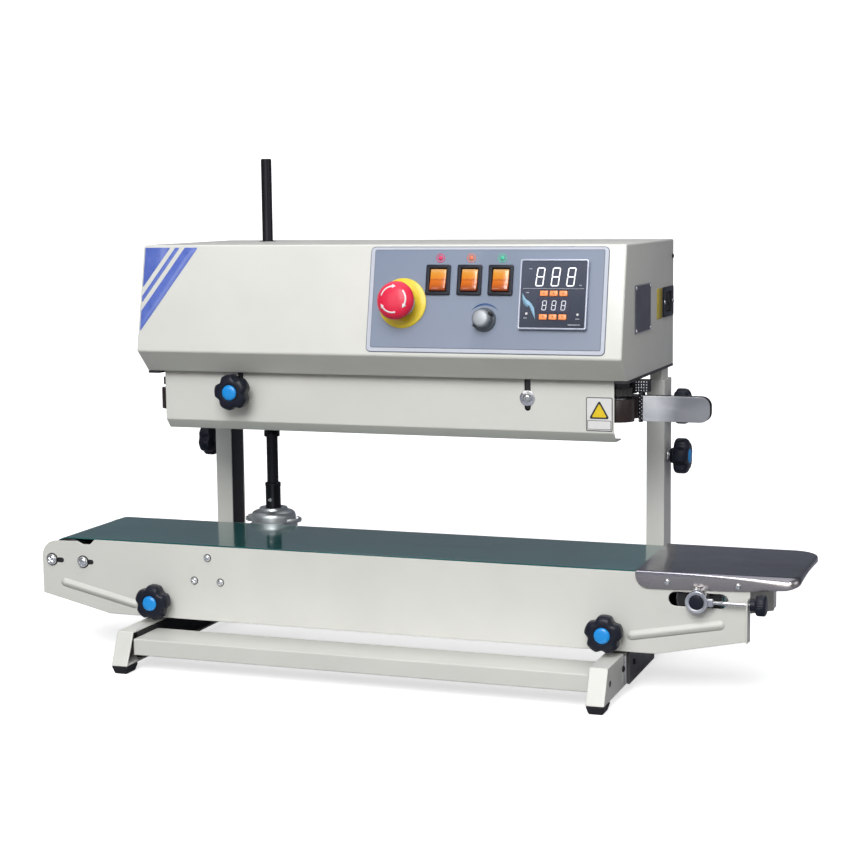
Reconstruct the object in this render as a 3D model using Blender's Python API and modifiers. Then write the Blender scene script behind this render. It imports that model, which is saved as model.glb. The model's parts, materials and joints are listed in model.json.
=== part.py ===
"""Vertical continuous band sealer.

A belt conveyor runs between two side plates. A sealing head stands above it on
two telescopic columns, and a base frame on rubber feet carries both.

Sizes are millimetres, scaled by MM where objects are built. +Z is up, +X points
to the infeed tray and -Y to the operator. x is measured from the plane midway
between the rails, y from the centre line of the belt and z from the floor. The
root then shifts everything so that the world origin is on the floor in the
middle of the machine's footprint.
"""

import math

import bmesh
import bpy
from mathutils import Matrix, Vector

MM = 0.001

# -------------------------------------------------------- shared dimensions
GAP = 0.35                      # gap between pieces that touch
SHEET = 1.5                     # sheet of the side plates and the guard
WALL = 2.0                      # sheet of the rails, columns, posts and crossbar
THIN_SHEET = 1.2                # sheet of the head cover, tray and guide

# base frame: rails mirrored in x, each narrower at the top than at the bottom
RAIL_OUT, RAIL_IN = 274.0, 254.9
RAIL_Z0, RAIL_Z1 = 9.0, 44.2
RAIL_Y0_LOW, RAIL_Y0_TOP = -151.6, -135.3
RAIL_Y1_LOW, RAIL_Y1_TOP = 223.4, 207.1
COL_Y0, COL_Y1 = 115.2, 150.3
COL_Y = (COL_Y0 + COL_Y1) / 2

# conveyor
PLATE_X0, PLATE_X1 = -402.5, 403.0
PLATE_Y = 74.0                  # outer faces of both side plates at +-PLATE_Y
ROLLER_R, ROLLER_Z = 24.0, 105.2
OUTFEED_X, INFEED_X = -370.0, 351.3
DRIVE_X, DRIVE_Z = -193.0, 100.0
BELT_T = 1.5
SCREW_Y, SCREW_Z = -81.0, ROLLER_Z
TRAY_X0, TRAY_X1 = 287.0, 451.8

# clamping knobs of the conveyor: x of the left and right one
CLAMP_KNOB_X = {"left": -254.3, "right": 258.0}
CLAMP_KNOB_Z = 67.5
KNOB_STUD_R, KNOB_HOLE_R = 4.0, 4.6

# vertical drive shaft and the bevel gears that join it to the drive roller
SHAFT_Y, SHAFT_R, SHAFT_TOP = 100.0, 6.1, 555.0
BEVEL_SMALL, BEVEL_LARGE = 9.0, 16.0    # radii, and distances from the crossing point

# sealing head
HEAD_X = 272.5
HEAD_BACK_Y = 166.0
CHASSIS_Z0, CHASSIS_Z1 = 318.2, 320.8
WHEEL_X, WHEEL_Y, WHEEL_R = 254.0, 17.9, 16.5

# slots and studs that hang the guard, mirrored in x
GUARD_SLOT_X, GUARD_SLOT_R = 164.2, 3.3
GUARD_STUD_Z = 300.5

# middle of the footprint
FOOTPRINT_X = (PLATE_X0 + TRAY_X1) / 2
FOOTPRINT_Y = (RAIL_Y0_LOW + RAIL_Y1_LOW) / 2

# signs along x and along y
SIDES = ((-1, "left"), (1, "right"))
ROWS = ((-1, "front"), (1, "rear"))

ROT_NONE = (0.0, 0.0, 0.0)
ROT_Z_TO_FRONT = (math.pi / 2, 0.0, 0.0)       # local Z points to -Y
ROT_Z_TO_BACK = (-math.pi / 2, 0.0, 0.0)       # local Z points to +Y
ROT_Z_TO_RIGHT = (0.0, math.pi / 2, 0.0)       # local Z points to +X
ROT_Z_TO_LEFT = (0.0, -math.pi / 2, 0.0)       # local Z points to -X
# local X, Y, Z point to Y, Z, X
ROT_OUTLINE_YZ = tuple(Matrix(((0, 0, 1), (1, 0, 0), (0, 1, 0))).to_euler())

# ------------------------------------------------------------------- set-up
for existing in list(bpy.data.objects):
    bpy.data.objects.remove(existing, do_unlink=True)

PARTS = bpy.data.collections.new("band_sealer")
CUTTERS = bpy.data.collections.new("cutters")
bpy.context.scene.collection.children.link(PARTS)
bpy.context.scene.collection.children.link(CUTTERS)


# ---------------------------------------------------------------- materials
def material(name, color, roughness, metallic=0.0):
    new = bpy.data.materials.new(name)
    new.use_nodes = True
    inputs = new.node_tree.nodes["Principled BSDF"].inputs
    inputs["Base Color"].default_value = (*color, 1.0)
    inputs["Roughness"].default_value = roughness
    inputs["Metallic"].default_value = metallic
    new.diffuse_color = (*color, 1.0)
    return new


BEIGE = material("beige_enamel", color=(0.72, 0.71, 0.66), roughness=0.38)
BLACK_PAINT = material("black_paint", color=(0.02, 0.02, 0.022), roughness=0.45)
BLACK_PLASTIC = material("black_plastic", color=(0.012, 0.013, 0.018), roughness=0.4)
RUBBER = material("black_rubber", color=(0.02, 0.02, 0.02), roughness=0.85)
GREEN_PVC = material("green_belt", color=(0.01, 0.16, 0.12), roughness=0.15)
STAINLESS = material("stainless", color=(0.55, 0.55, 0.57), roughness=0.28, metallic=1.0)
STEEL = material("machined_steel", color=(0.5, 0.5, 0.5), roughness=0.35, metallic=1.0)
DARK_STEEL = material("blackened_steel", color=(0.03, 0.03, 0.03), roughness=0.4, metallic=0.7)
ALUMINIUM = material("cast_aluminium", color=(0.62, 0.63, 0.63), roughness=0.42, metallic=1.0)
BRASS = material("brass", color=(0.7, 0.5, 0.2), roughness=0.35, metallic=1.0)
PTFE = material("ptfe_band", color=(0.16, 0.08, 0.05), roughness=0.5)
RED = material("red_plastic", color=(0.75, 0.02, 0.02), roughness=0.3)
ORANGE = material("orange_plastic", color=(0.95, 0.25, 0.02), roughness=0.3)
SILVER = material("silver_plastic", color=(0.55, 0.56, 0.58), roughness=0.35, metallic=0.6)
DARK_FACE = material("dark_face", color=(0.03, 0.035, 0.05), roughness=0.2)


# ----------------------------------------------------------- object helpers
def empty(name, location=(0, 0, 0), rotation=ROT_NONE, parent=None):
    frame = bpy.data.objects.new(name, None)
    frame.empty_display_size = 0.03
    frame.location = [c * MM for c in location]
    frame.rotation_euler = rotation
    frame.parent = parent
    PARTS.objects.link(frame)
    return frame


machine_root = empty("machine", (-FOOTPRINT_X, -FOOTPRINT_Y, 0))
base_root = empty("body_base", parent=machine_root)
conveyor_root = empty("body_conveyor", parent=base_root)
head_root = empty("body_head", parent=base_root)


def link(obj, cutter):
    """Put a piece, or a hidden Boolean cutter, in its collection."""
    if cutter:
        obj.hide_render = True
        obj.display_type = 'WIRE'
        CUTTERS.objects.link(obj)
    else:
        PARTS.objects.link(obj)


def place(name, data, finish, location, rotation=ROT_NONE, parent=None, cutter=False):
    obj = bpy.data.objects.new(name, data)
    obj.location = [c * MM for c in location]
    obj.rotation_euler = rotation
    obj.parent = parent or machine_root
    if finish is not None:
        data.materials.append(finish)
    link(obj, cutter)
    return obj


def finish_mesh(name, edit, sharp_angle=None):
    """Turn a bmesh into a mesh, smooth below sharp_angle degrees if one is given."""
    mesh = bpy.data.meshes.new(name)
    edit.to_mesh(mesh)
    edit.free()
    if sharp_angle is not None:
        mesh.shade_smooth()
        mesh.set_sharp_from_angle(angle=math.radians(sharp_angle))
    return mesh


def box(name, corner, opposite, finish=None, parent=None, cutter=False, origin=None,
        taper_low=0.0):
    """Axis-aligned block between two corners. taper_low pulls the bottom in."""
    corner, opposite = Vector(corner), Vector(opposite)
    size = Vector([abs(c) for c in opposite - corner])
    centre = (corner + opposite) / 2
    origin = centre if origin is None else Vector(origin)
    edit = bmesh.new()
    bmesh.ops.create_cube(edit, size=1.0)
    for vert in edit.verts:
        point = Vector((vert.co.x * size.x, vert.co.y * size.y, vert.co.z * size.z))
        if point.z < 0:
            point.x -= math.copysign(taper_low, point.x)
            point.y -= math.copysign(taper_low, point.y)
        vert.co = (point + centre - origin) * MM
    return place(name, finish_mesh(name, edit), finish, origin, parent=parent, cutter=cutter)


def rod(name, radius, length, location, rotation, finish=None, parent=None, cutter=False,
        segments=24):
    """Cylinder from its origin along local +Z."""
    edit = bmesh.new()
    bmesh.ops.create_cone(edit, cap_ends=True, segments=segments, radius1=radius * MM,
                          radius2=radius * MM, depth=length * MM)
    bmesh.ops.translate(edit, vec=(0, 0, length * MM / 2), verts=edit.verts)
    return place(name, finish_mesh(name, edit, sharp_angle=40), finish, location, rotation,
                 parent, cutter)


def turned(name, profile, location, rotation, finish, parent=None, closed=False, steps=24,
           cutter=False):
    """Shape turned about local Z from a profile of (radius, height) points."""
    edit = bmesh.new()
    verts = [edit.verts.new((radius * MM, 0, z * MM)) for radius, z in profile]
    for start, end in zip(verts, verts[1:]):
        edit.edges.new((start, end))
    if closed:
        edit.edges.new((verts[-1], verts[0]))
    obj = place(name, finish_mesh(name, edit), finish, location, rotation, parent, cutter)
    screw = obj.modifiers.new("turn", 'SCREW')
    screw.axis = 'Z'
    screw.angle = 2 * math.pi
    screw.steps = steps
    screw.render_steps = steps
    screw.use_merge_vertices = True
    screw.merge_threshold = 0.00001
    screw.use_smooth_shade = True
    screw.use_normal_calculate = False
    return obj


def sheet(name, outlines, thickness, location, rotation, finish=None, parent=None,
          cutter=False):
    """Flat outline (with holes) in local XY, half its thickness each side of local Z = 0."""
    curve = bpy.data.curves.new(name, 'CURVE')
    curve.dimensions = '2D'
    curve.fill_mode = 'BOTH'
    curve.extrude = thickness * MM / 2
    for outline in outlines:
        spline = curve.splines.new('POLY')
        spline.points.add(len(outline) - 1)
        for point, (x, y) in zip(spline.points, outline):
            point.co = (x * MM, y * MM, 0, 1)
        spline.use_cyclic_u = True
    return place(name, curve, finish, location, rotation, parent, cutter)


def mesh_sheet(name, *shape, cutter=False):
    """A sheet turned into a welded mesh, which takes Boolean and Solidify."""
    flat = sheet(name, *shape, cutter=cutter)
    bpy.context.view_layer.update()
    depsgraph = bpy.context.evaluated_depsgraph_get()
    mesh = bpy.data.meshes.new_from_object(flat.evaluated_get(depsgraph))
    edit = bmesh.new()
    edit.from_mesh(mesh)
    bmesh.ops.remove_doubles(edit, verts=edit.verts, dist=0.00001)
    bmesh.ops.recalc_face_normals(edit, faces=edit.faces)
    edit.to_mesh(mesh)
    edit.free()
    parent, matrix = flat.parent, flat.matrix_world.copy()
    bpy.data.objects.remove(flat, do_unlink=True)
    obj = bpy.data.objects.new(name, mesh)
    link(obj, cutter)
    obj.parent = parent
    obj.matrix_world = matrix
    return obj


def boolean(obj, tools, operation):
    for tool in tools:
        modifier = obj.modifiers.new(operation.lower() + "_" + tool.name, 'BOOLEAN')
        modifier.operation = operation
        modifier.solver = 'EXACT'
        modifier.object = tool


def cut(obj, *tools):
    boolean(obj, tools, 'DIFFERENCE')


def join(obj, *tools):
    boolean(obj, tools, 'UNION')


# ---------------------------------------------------------- outline helpers
def arc(x, y, radius, start, end, steps=6):
    """Points on an arc between two angles in degrees."""
    angles = [math.radians(start + (end - start) * i / steps) for i in range(steps + 1)]
    return [(x + radius * math.cos(a), y + radius * math.sin(a)) for a in angles]


def circle_outline(x, y, radius, count=20):
    return arc(x, y, radius, 0, 360, count)[:-1]


def slot_outline(start, end, middle, radius, vertical=False):
    """Round-ended slot from start to end along x (or y if vertical), centred on middle."""
    points = arc(end - radius, middle, radius, -90, 90, 8)
    points += arc(start + radius, middle, radius, 90, 270, 8)
    if vertical:
        points = [(y, x) for x, y in reversed(points)]
    return points


def channel_outline(side, x_in, x_out, y0, y1):
    """U section of WALL thickness, open towards the middle of the machine."""
    return [(side * x, y) for x, y in (
        (x_in, y0), (x_out, y0), (x_out, y1), (x_in, y1),
        (x_in, y1 - WALL), (x_out - WALL, y1 - WALL), (x_out - WALL, y0 + WALL),
        (x_in, y0 + WALL))]


def belt_path(circles, offset, half_turn_steps=12):
    """Closed path pulled tight round circles (x, y, radius), listed counter-clockwise."""
    normals = []
    for i, (x, y, radius) in enumerate(circles):
        next_x, next_y, next_radius = circles[(i + 1) % len(circles)]
        length = math.hypot(next_x - x, next_y - y)
        normals.append(math.atan2(next_y - y, next_x - x)
                       - math.acos((radius - next_radius) / length))
    points = []
    for i, (x, y, radius) in enumerate(circles):
        start, end = normals[i - 1], normals[i]
        while end < start:
            end += 2 * math.pi
        steps = max(2, round(half_turn_steps * (end - start) / math.pi))
        for k in range(steps + 1):
            angle = start + (end - start) * k / steps
            points.append((x + (radius + offset) * math.cos(angle),
                           y + (radius + offset) * math.sin(angle)))
    return points


# --------------------------------------------------------------- star knobs
KNOB_R = 18.0                   # mean radius of the lobed grip
KNOB_LOBES, LOBE_DEPTH = 5, 0.11
KNOB_POINTS = 30


def star_knob(name, location, rotation, stud_length, stud_radius, parent, neck=6.0):
    """Lobed clamping knob lofted from a round hub; its stud points to local -Z."""
    levels = [                  # height, radius, share of the full lobe depth
        (-stud_length, stud_radius, 0.0),
        (0.4, stud_radius, 0.0),
        (0.4, 8.5, 0.0),
        (neck, 9.2, 0.2),
        (neck + 2.5, KNOB_R, 1.0),
        (neck + 16.0, KNOB_R, 1.0),
        (neck + 20.6, 13.0, 0.5),
    ]
    edit = bmesh.new()
    rings = []
    for z, radius, lobe in levels:
        ring = []
        for i in range(KNOB_POINTS):
            angle = 2 * math.pi * i / KNOB_POINTS
            reach = radius * (1 + lobe * LOBE_DEPTH * math.cos(KNOB_LOBES * angle)) * MM
            ring.append(edit.verts.new((reach * math.sin(angle), reach * math.cos(angle),
                                        z * MM)))
        rings.append(ring)
    for low, high in zip(rings, rings[1:]):
        for i in range(KNOB_POINTS):
            j = (i + 1) % KNOB_POINTS
            edit.faces.new((low[i], high[i], high[j], low[j]))
    edit.faces.new(rings[0])
    edit.faces.new(list(reversed(rings[-1])))
    bmesh.ops.recalc_face_normals(edit, faces=edit.faces)
    return place(name, finish_mesh(name, edit, sharp_angle=45), BLACK_PLASTIC, location,
                 rotation, parent)


# ================================================================ base frame
FOOT_W, FOOT_D, FOOT_TAPER, FOOT_INSET = 20.0, 25.0, 2.6, 0.6
COL_IN, COL_Z1 = 254.0, 306.7
COLUMN_KNOBS = ((221.0, "lower"), (276.5, "upper"))     # z, name
BAR_Y0, BAR_Y1, BAR_Z0, BAR_Z1 = -136.0, -81.0, 18.7, 36.6
POCKET_DEPTH = 30.0             # x length of the cutter that hollows a rail

LIFT = 30.0                     # conveyor travel
BRACKET_T = 2.5
BRACKET_OUT = RAIL_OUT + GAP + BRACKET_T
BRACKET_OUTLINE = [             # y, z
    (-57, 8.8), (57, 8.8), (57, 46.5), (72.1, 50.5),
    (72.1, 72), (-72.1, 72), (-72.1, 49.5), (-57, 45.5),
]
EAR_IN, EAR_OUT, EAR_Z0, EAR_Z1 = 240.0, BRACKET_OUT - 0.7, 50.0, 105.0
EAR_Y, EAR_T, EAR_CHAMFER = 71.0, 1.8, 4.0
EAR_SLOT_R = 4.5


def build_rail(side, label):
    """Bent sheet channel, open towards the middle of the machine."""
    rail = mesh_sheet(
        "base_rail_" + label,
        [[(RAIL_Y0_LOW, RAIL_Z0), (RAIL_Y1_LOW, RAIL_Z0), (RAIL_Y1_TOP, RAIL_Z1),
          (RAIL_Y0_TOP, RAIL_Z1)]],
        RAIL_OUT - RAIL_IN, (side * (RAIL_OUT + RAIL_IN) / 2, 0, 0), ROT_OUTLINE_YZ,
        BEIGE, base_root)
    inset_low, inset_top = 4.0, 1.5         # end walls left by the pocket, along y
    cut(rail, mesh_sheet(
        "pocket_rail_" + label,
        [[(RAIL_Y0_LOW + inset_low, RAIL_Z0 + WALL), (RAIL_Y1_LOW - inset_low, RAIL_Z0 + WALL),
          (RAIL_Y1_TOP - inset_top, RAIL_Z1 - WALL),
          (RAIL_Y0_TOP + inset_top, RAIL_Z1 - WALL)]],
        POCKET_DEPTH, (side * (RAIL_OUT - WALL - POCKET_DEPTH / 2), 0, 0), ROT_OUTLINE_YZ,
        cutter=True))


def build_feet(side, label):
    x = side * (RAIL_OUT + RAIL_IN) / 2
    for y, row in ((RAIL_Y0_LOW + FOOT_D / 2 + FOOT_INSET, "front"),
                   (RAIL_Y1_LOW - FOOT_D / 2 - FOOT_INSET, "rear")):
        box("foot_%s_%s" % (row, label),
            (x - FOOT_W / 2, y - FOOT_D / 2, 0),
            (x + FOOT_W / 2, y + FOOT_D / 2, RAIL_Z0 - GAP),
            RUBBER, base_root, taper_low=FOOT_TAPER)


def build_column(side, label):
    """Channel on the rail, with two knobs on its outer face."""
    bottom = RAIL_Z1 + GAP
    column = mesh_sheet(
        "column_" + label, [channel_outline(side, COL_IN, RAIL_OUT, COL_Y0, COL_Y1)],
        COL_Z1 - bottom, (0, 0, (COL_Z1 + bottom) / 2), ROT_NONE, BEIGE, base_root)
    outwards = ROT_Z_TO_RIGHT if side > 0 else ROT_Z_TO_LEFT
    for z, level in COLUMN_KNOBS:
        cut(column, rod("hole_column_%s_%s" % (label, level), KNOB_HOLE_R, 8,
                        (side * (RAIL_OUT - 5), COL_Y, z), outwards, cutter=True, segments=16))
        star_knob("column_knob_%s_%s" % (label, level), (side * RAIL_OUT, COL_Y, z), outwards,
                  2.6, KNOB_STUD_R, base_root)


def build_conveyor_bracket(side, label):
    """U-shaped sheet outside the rail, its ears slotted for the conveyor's travel."""
    bracket = mesh_sheet("conveyor_bracket_" + label, [BRACKET_OUTLINE], BRACKET_T,
                         (side * (BRACKET_OUT - BRACKET_T / 2), 0, 0), ROT_OUTLINE_YZ,
                         BLACK_PAINT, base_root)
    outline = [(side * x, z) for x, z in (
        (EAR_IN, EAR_Z0), (EAR_OUT, EAR_Z0), (EAR_OUT, EAR_Z1),
        (EAR_IN + EAR_CHAMFER, EAR_Z1), (EAR_IN, EAR_Z1 - EAR_CHAMFER))]
    slot = slot_outline(CLAMP_KNOB_Z - 4.7, CLAMP_KNOB_Z + LIFT + EAR_SLOT_R,
                        CLAMP_KNOB_X[label], EAR_SLOT_R, vertical=True)
    for row_sign, row in ROWS:
        join(bracket, mesh_sheet("ear_%s_%s" % (row, label), [outline, slot], EAR_T,
                                 (0, row_sign * EAR_Y, 0), ROT_Z_TO_FRONT, cutter=True))


def build_crossbar():
    """Channel between the rails, open below."""
    bar = box("base_crossbar", (-RAIL_IN + GAP, BAR_Y0, BAR_Z0), (RAIL_IN - GAP, BAR_Y1, BAR_Z1),
              BEIGE, base_root)
    cut(bar, box("pocket_crossbar", (-RAIL_IN - 5, BAR_Y0 + WALL, BAR_Z0 - 5),
                 (RAIL_IN + 5, BAR_Y1 - WALL, BAR_Z1 - WALL), cutter=True))


for side_sign, side_name in SIDES:
    build_rail(side_sign, side_name)
    build_feet(side_sign, side_name)
    build_column(side_sign, side_name)
    build_conveyor_bracket(side_sign, side_name)
build_crossbar()

# ================================================================== conveyor
PLATE_Z0, PLATE_Z1 = 47.0, 130.3
END_Z0 = 66.3                   # lower corners of the raised ends
END_FLANGE = 15.0
TENSION_SLOT = slot_outline(320.7, 381.3, ROLLER_Z, 7.4)
PLATE_OUTLINE = [               # x, z
    (-318, PLATE_Z0), (308, PLATE_Z0), (PLATE_X1, END_Z0), (PLATE_X1, PLATE_Z1),
    (-335, PLATE_Z1), (-341, 124.6), (-350, 124.6), (-357, PLATE_Z1 - 2.6),
    *arc(PLATE_X0 + 18, PLATE_Z1 - 21.2, 18, 90, 180),
    (PLATE_X0, END_Z0),
]

BED_HALF, BED_WALL, BED_TOP_T = 72.1, 1.5, 2.0
BED_X, BED_LENGTH = -10.0, 655.0
BED_Z0, BED_Z1 = 113.0, ROLLER_Z + ROLLER_R

BELT_HALF = 69.5
ROLLER_HALF, AXLE_R, AXLE_END = 69.0, 6.0, 72.0


def build_side_plates():
    """Plates with a turned-out end flange; the rear one has a hole for the drive axle."""
    knob_holes = [circle_outline(x, CLAMP_KNOB_Z, KNOB_HOLE_R, 16)
                  for x in CLAMP_KNOB_X.values()]
    axle_hole = circle_outline(DRIVE_X, DRIVE_Z, 8.0)
    for row_sign, row in ROWS:
        outlines = [PLATE_OUTLINE, TENSION_SLOT] + knob_holes
        if row == "rear":
            outlines.append(axle_hole)
        y = row_sign * (PLATE_Y - SHEET / 2)
        plate = mesh_sheet("conveyor_plate_" + row, outlines, SHEET, (0, y, 0), ROT_Z_TO_FRONT,
                           BEIGE, conveyor_root)
        join(plate, box("flange_" + row, (PLATE_X1 - SHEET, y, END_Z0 + 1.2),
                        (PLATE_X1, row_sign * (PLATE_Y + END_FLANGE), PLATE_Z1 - 19),
                        cutter=True))
        cut(plate, rod("screw_hole_" + row, 2.9, 12,
                       (PLATE_X1 - 6, -row_sign * SCREW_Y, SCREW_Z),
                       ROT_Z_TO_RIGHT, cutter=True, segments=16))


def build_bed():
    """Shallow channel under the upper run of the belt, open below."""
    inner = BED_HALF - BED_WALL
    sheet("conveyor_bed",
          [[(-BED_HALF, BED_Z0), (-inner, BED_Z0), (-inner, BED_Z1 - BED_TOP_T),
            (inner, BED_Z1 - BED_TOP_T), (inner, BED_Z0), (BED_HALF, BED_Z0),
            (BED_HALF, BED_Z1), (-BED_HALF, BED_Z1)]],
          BED_LENGTH, (BED_X, 0, 0), ROT_OUTLINE_YZ, STEEL, conveyor_root)


def build_belt():
    wheels = [(x, z, ROLLER_R + GAP) for x, z in
              ((OUTFEED_X, ROLLER_Z), (DRIVE_X, DRIVE_Z), (INFEED_X, ROLLER_Z))]
    sheet("conveyor_belt", [belt_path(wheels, BELT_T), belt_path(wheels, 0)],
          2 * BELT_HALF, (0, 0, 0), ROT_Z_TO_FRONT, GREEN_PVC, conveyor_root)


def build_roller(name, x, z, rear_end, front_y):
    """Roller with axle ends: rear_end lists (radius, y), front_y is where the axle stops."""
    profile = rear_end + [
        (AXLE_R, ROLLER_HALF), (ROLLER_R, ROLLER_HALF), (ROLLER_R, -ROLLER_HALF),
        (AXLE_R, -ROLLER_HALF), (AXLE_R, front_y), (0, front_y)]
    turned(name, profile, (x, 0, z), ROT_Z_TO_BACK, STEEL, conveyor_root)


def build_rollers():
    build_roller("roller_outfeed", OUTFEED_X, ROLLER_Z,
                 [(0, AXLE_END), (AXLE_R, AXLE_END)], -AXLE_END)
    build_roller("roller_infeed", INFEED_X, ROLLER_Z, [(0, 84.0), (AXLE_R, 84.0)], -86.6)
    bevel = [(0, SHAFT_Y - BEVEL_SMALL), (BEVEL_SMALL - GAP, SHAFT_Y - BEVEL_SMALL),
             (BEVEL_LARGE - GAP, SHAFT_Y - BEVEL_LARGE),
             (BEVEL_LARGE - GAP, SHAFT_Y - BEVEL_LARGE - 1), (AXLE_R, SHAFT_Y - BEVEL_LARGE - 2)]
    build_roller("roller_drive", DRIVE_X, DRIVE_Z, bevel, -AXLE_END)


def build_belt_tension():
    """Collar round the infeed axle with a threaded lug, and the screw that pulls it."""
    carrier = turned("tension_carrier", [(11.4, 86.2), (11.4, 77.0), (6.9, 77.0), (6.9, 86.2)],
                     (INFEED_X, 0, ROLLER_Z), ROT_Z_TO_FRONT, ALUMINIUM, conveyor_root,
                     closed=True)
    join(carrier, box("carrier_lug", (INFEED_X + 9.6, SCREW_Y - 3.6, SCREW_Z - 4),
                      (INFEED_X + 16.6, SCREW_Y + 3.6, SCREW_Z + 4), cutter=True))
    cut(carrier, rod("carrier_thread", 2.75, 9, (INFEED_X + 11.5, SCREW_Y, SCREW_Z),
                     ROT_Z_TO_RIGHT, cutter=True, segments=16))
    screw_profile = [           # radius, distance along the screw; head first
        (0, 52.2), (8.6, 52.2), (10.5, 50.5), (10.5, 43.0), (8.8, 41.5), (6.2, 41.5),
        (6.2, 36.3), (2.2, 36.3), (2.2, -2.0), (0, -2.0),
    ]
    turned("tension_screw", screw_profile, (INFEED_X + 17.0, SCREW_Y, SCREW_Z), ROT_Z_TO_RIGHT,
           BLACK_PLASTIC, conveyor_root, steps=20)


def build_infeed_tray():
    """Stainless sheet with turned-down front and rear edges; the rear one is shorter."""
    tray_z = ROLLER_Z + ROLLER_R + GAP + BELT_T + 0.4      # underside
    outline = [                 # x, y
        (TRAY_X0, 76.0), (TRAY_X0, -76.0), (TRAY_X1 - 9, -76.0),
        *arc(TRAY_X1 - 12, -62, 12, -75, 0, 4),
        (TRAY_X1 - 0.2, -30), (TRAY_X1 - 1.2, 10), (TRAY_X1 - 5.0, 32),
        *arc(TRAY_X1 - 36, 46, 30, 0, 90, 5),
    ]
    tray = mesh_sheet("infeed_tray", [outline], THIN_SHEET, (0, 0, tray_z + THIN_SHEET / 2),
                      ROT_NONE, STAINLESS, conveyor_root)
    lip_start = [               # x, z; shared by both lips
        (TRAY_X0, tray_z + 1.0), (TRAY_X0 + 0.8, tray_z - 3),
        *arc(TRAY_X0 + 17, tray_z - 4.6, 13.4, 200, 265, 5),
        (TRAY_X0 + 64, tray_z - 17.0), (TRAY_X0 + 118, tray_z - 15.0),
    ]
    lip_ends = {
        "front": [(TRAY_X1 - 13, tray_z - 12.5), (TRAY_X1 - 9.5, tray_z - 8),
                  (TRAY_X1 - 8.6, tray_z + 1.0)],
        "rear": [(TRAY_X1 - 40, tray_z - 12), (TRAY_X1 - 37, tray_z + 1.0)],
    }
    for row_sign, row in ROWS:
        join(tray, mesh_sheet("tray_lip_" + row, [lip_start + lip_ends[row]], THIN_SHEET,
                              (0, row_sign * (PLATE_Y + GAP + 1.05), 0), ROT_Z_TO_FRONT,
                              cutter=True))


def build_gearbox():
    """Bevel gear box behind the rear plate, with a flanged bearing on top."""
    half_width, back_y, wall = 22.0, 122.0, 3.5
    housing = box("gearbox_housing", (DRIVE_X - half_width, PLATE_Y + GAP, 80),
                  (DRIVE_X + half_width, back_y, 134), ALUMINIUM, conveyor_root)
    dome_profile = [            # radius, z
        (0, 151), (15, 151), (15, 146.5), (20, 145.5), (22.5, 141), (22.5, 133), (0, 133),
    ]
    join(housing,
         turned("gearbox_dome", dome_profile, (DRIVE_X, SHAFT_Y, 0), ROT_NONE, None,
                cutter=True),
         mesh_sheet("gearbox_ears", [slot_outline(DRIVE_X - 31, DRIVE_X + 31, SHAFT_Y, 13)],
                    3.0, (0, 0, 138.5), ROT_NONE, cutter=True))
    cut(housing,
        box("gearbox_cavity", (DRIVE_X - half_width + wall, PLATE_Y - 3, 82.5),
            (DRIVE_X + half_width - wall, back_y - wall, 119.5), cutter=True),
        rod("gearbox_bore", 9.4, 60, (DRIVE_X, SHAFT_Y, 100), ROT_NONE, cutter=True))


def build_drive_shaft():
    """Vertical shaft with its driving sleeve and, at the bottom, its bevel gear."""
    chamfer = 0.8
    profile = [                 # radius, z
        (0, SHAFT_TOP), (SHAFT_R - chamfer, SHAFT_TOP), (SHAFT_R, SHAFT_TOP - chamfer),
        (SHAFT_R, 176), (8.7, 175), (8.7, 170.5), (8.2, 169.5), (8.2, 118.4),
        (BEVEL_LARGE - GAP, DRIVE_Z + BEVEL_LARGE + 1.5),
        (BEVEL_LARGE - GAP, DRIVE_Z + BEVEL_LARGE),
        (BEVEL_SMALL - GAP, DRIVE_Z + BEVEL_SMALL), (0, DRIVE_Z + BEVEL_SMALL),
    ]
    turned("drive_shaft", profile, (DRIVE_X, SHAFT_Y, 0), ROT_NONE, DARK_STEEL, conveyor_root)


build_side_plates()
build_bed()
build_belt()
build_rollers()
build_belt_tension()
build_infeed_tray()
build_gearbox()
build_drive_shaft()
for side_name, knob_x in CLAMP_KNOB_X.items():
    star_knob("conveyor_knob_" + side_name, (knob_x, -PLATE_Y, CLAMP_KNOB_Z), ROT_Z_TO_FRONT,
              6.0, KNOB_STUD_R, conveyor_root)

# ====================================================== head: posts and case
POST_IN, POST_OUT, POST_INSET_Y = 257.0, 270.7, 2.5
POST_Z0, POST_Z1 = 60.0, 430.0
OPENING_IN, OPENING_OUT, OPENING_INSET_Y = 255.6, 271.2, 1.6    # post openings in the chassis

HEAD_TOP = 459.8
HEAD_FRONT_TOP_Y = -53.5
HEAD_FRONT_LOW_Y, HEAD_FRONT_LOW_Z = -76.8, 344.8
HEAD_LIP_Y, HEAD_LIP_Z = -52.3, 321.3

CHASSIS_END_Y, CHASSIS_FRONT_Y = -51.0, -39.4
CHASSIS_NOTCH_X = 258.6         # between +-this the front edge is set back
TAB_HALF, TAB_Z0, TAB_T, TAB_Y = 13.0, 289.0, 2.0, -38.4

# Frame of the sloping front: local X runs right, local Y up the slope, local Z outwards.
# Its origin is on the top edge.
front_angle = math.atan2(HEAD_TOP - HEAD_FRONT_LOW_Z, HEAD_FRONT_TOP_Y - HEAD_FRONT_LOW_Y)
panel = empty("panel_frame", (0, HEAD_FRONT_TOP_Y, HEAD_TOP), (front_angle, 0, 0), head_root)

# centres of the controls in the panel frame
ESTOP = (36.3, -62.1)
ROCKERS_X, ROCKER_Y = (74.6, 108.8, 142.5), -37.5
SPEED = (127.0, -78.5)
CTRL = (199.9, -52.3)
CTRL_FACE, CTRL_BODY = 72.0, 66.8
CLEARANCE = 0.4                 # round the controller body and its keys


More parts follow.
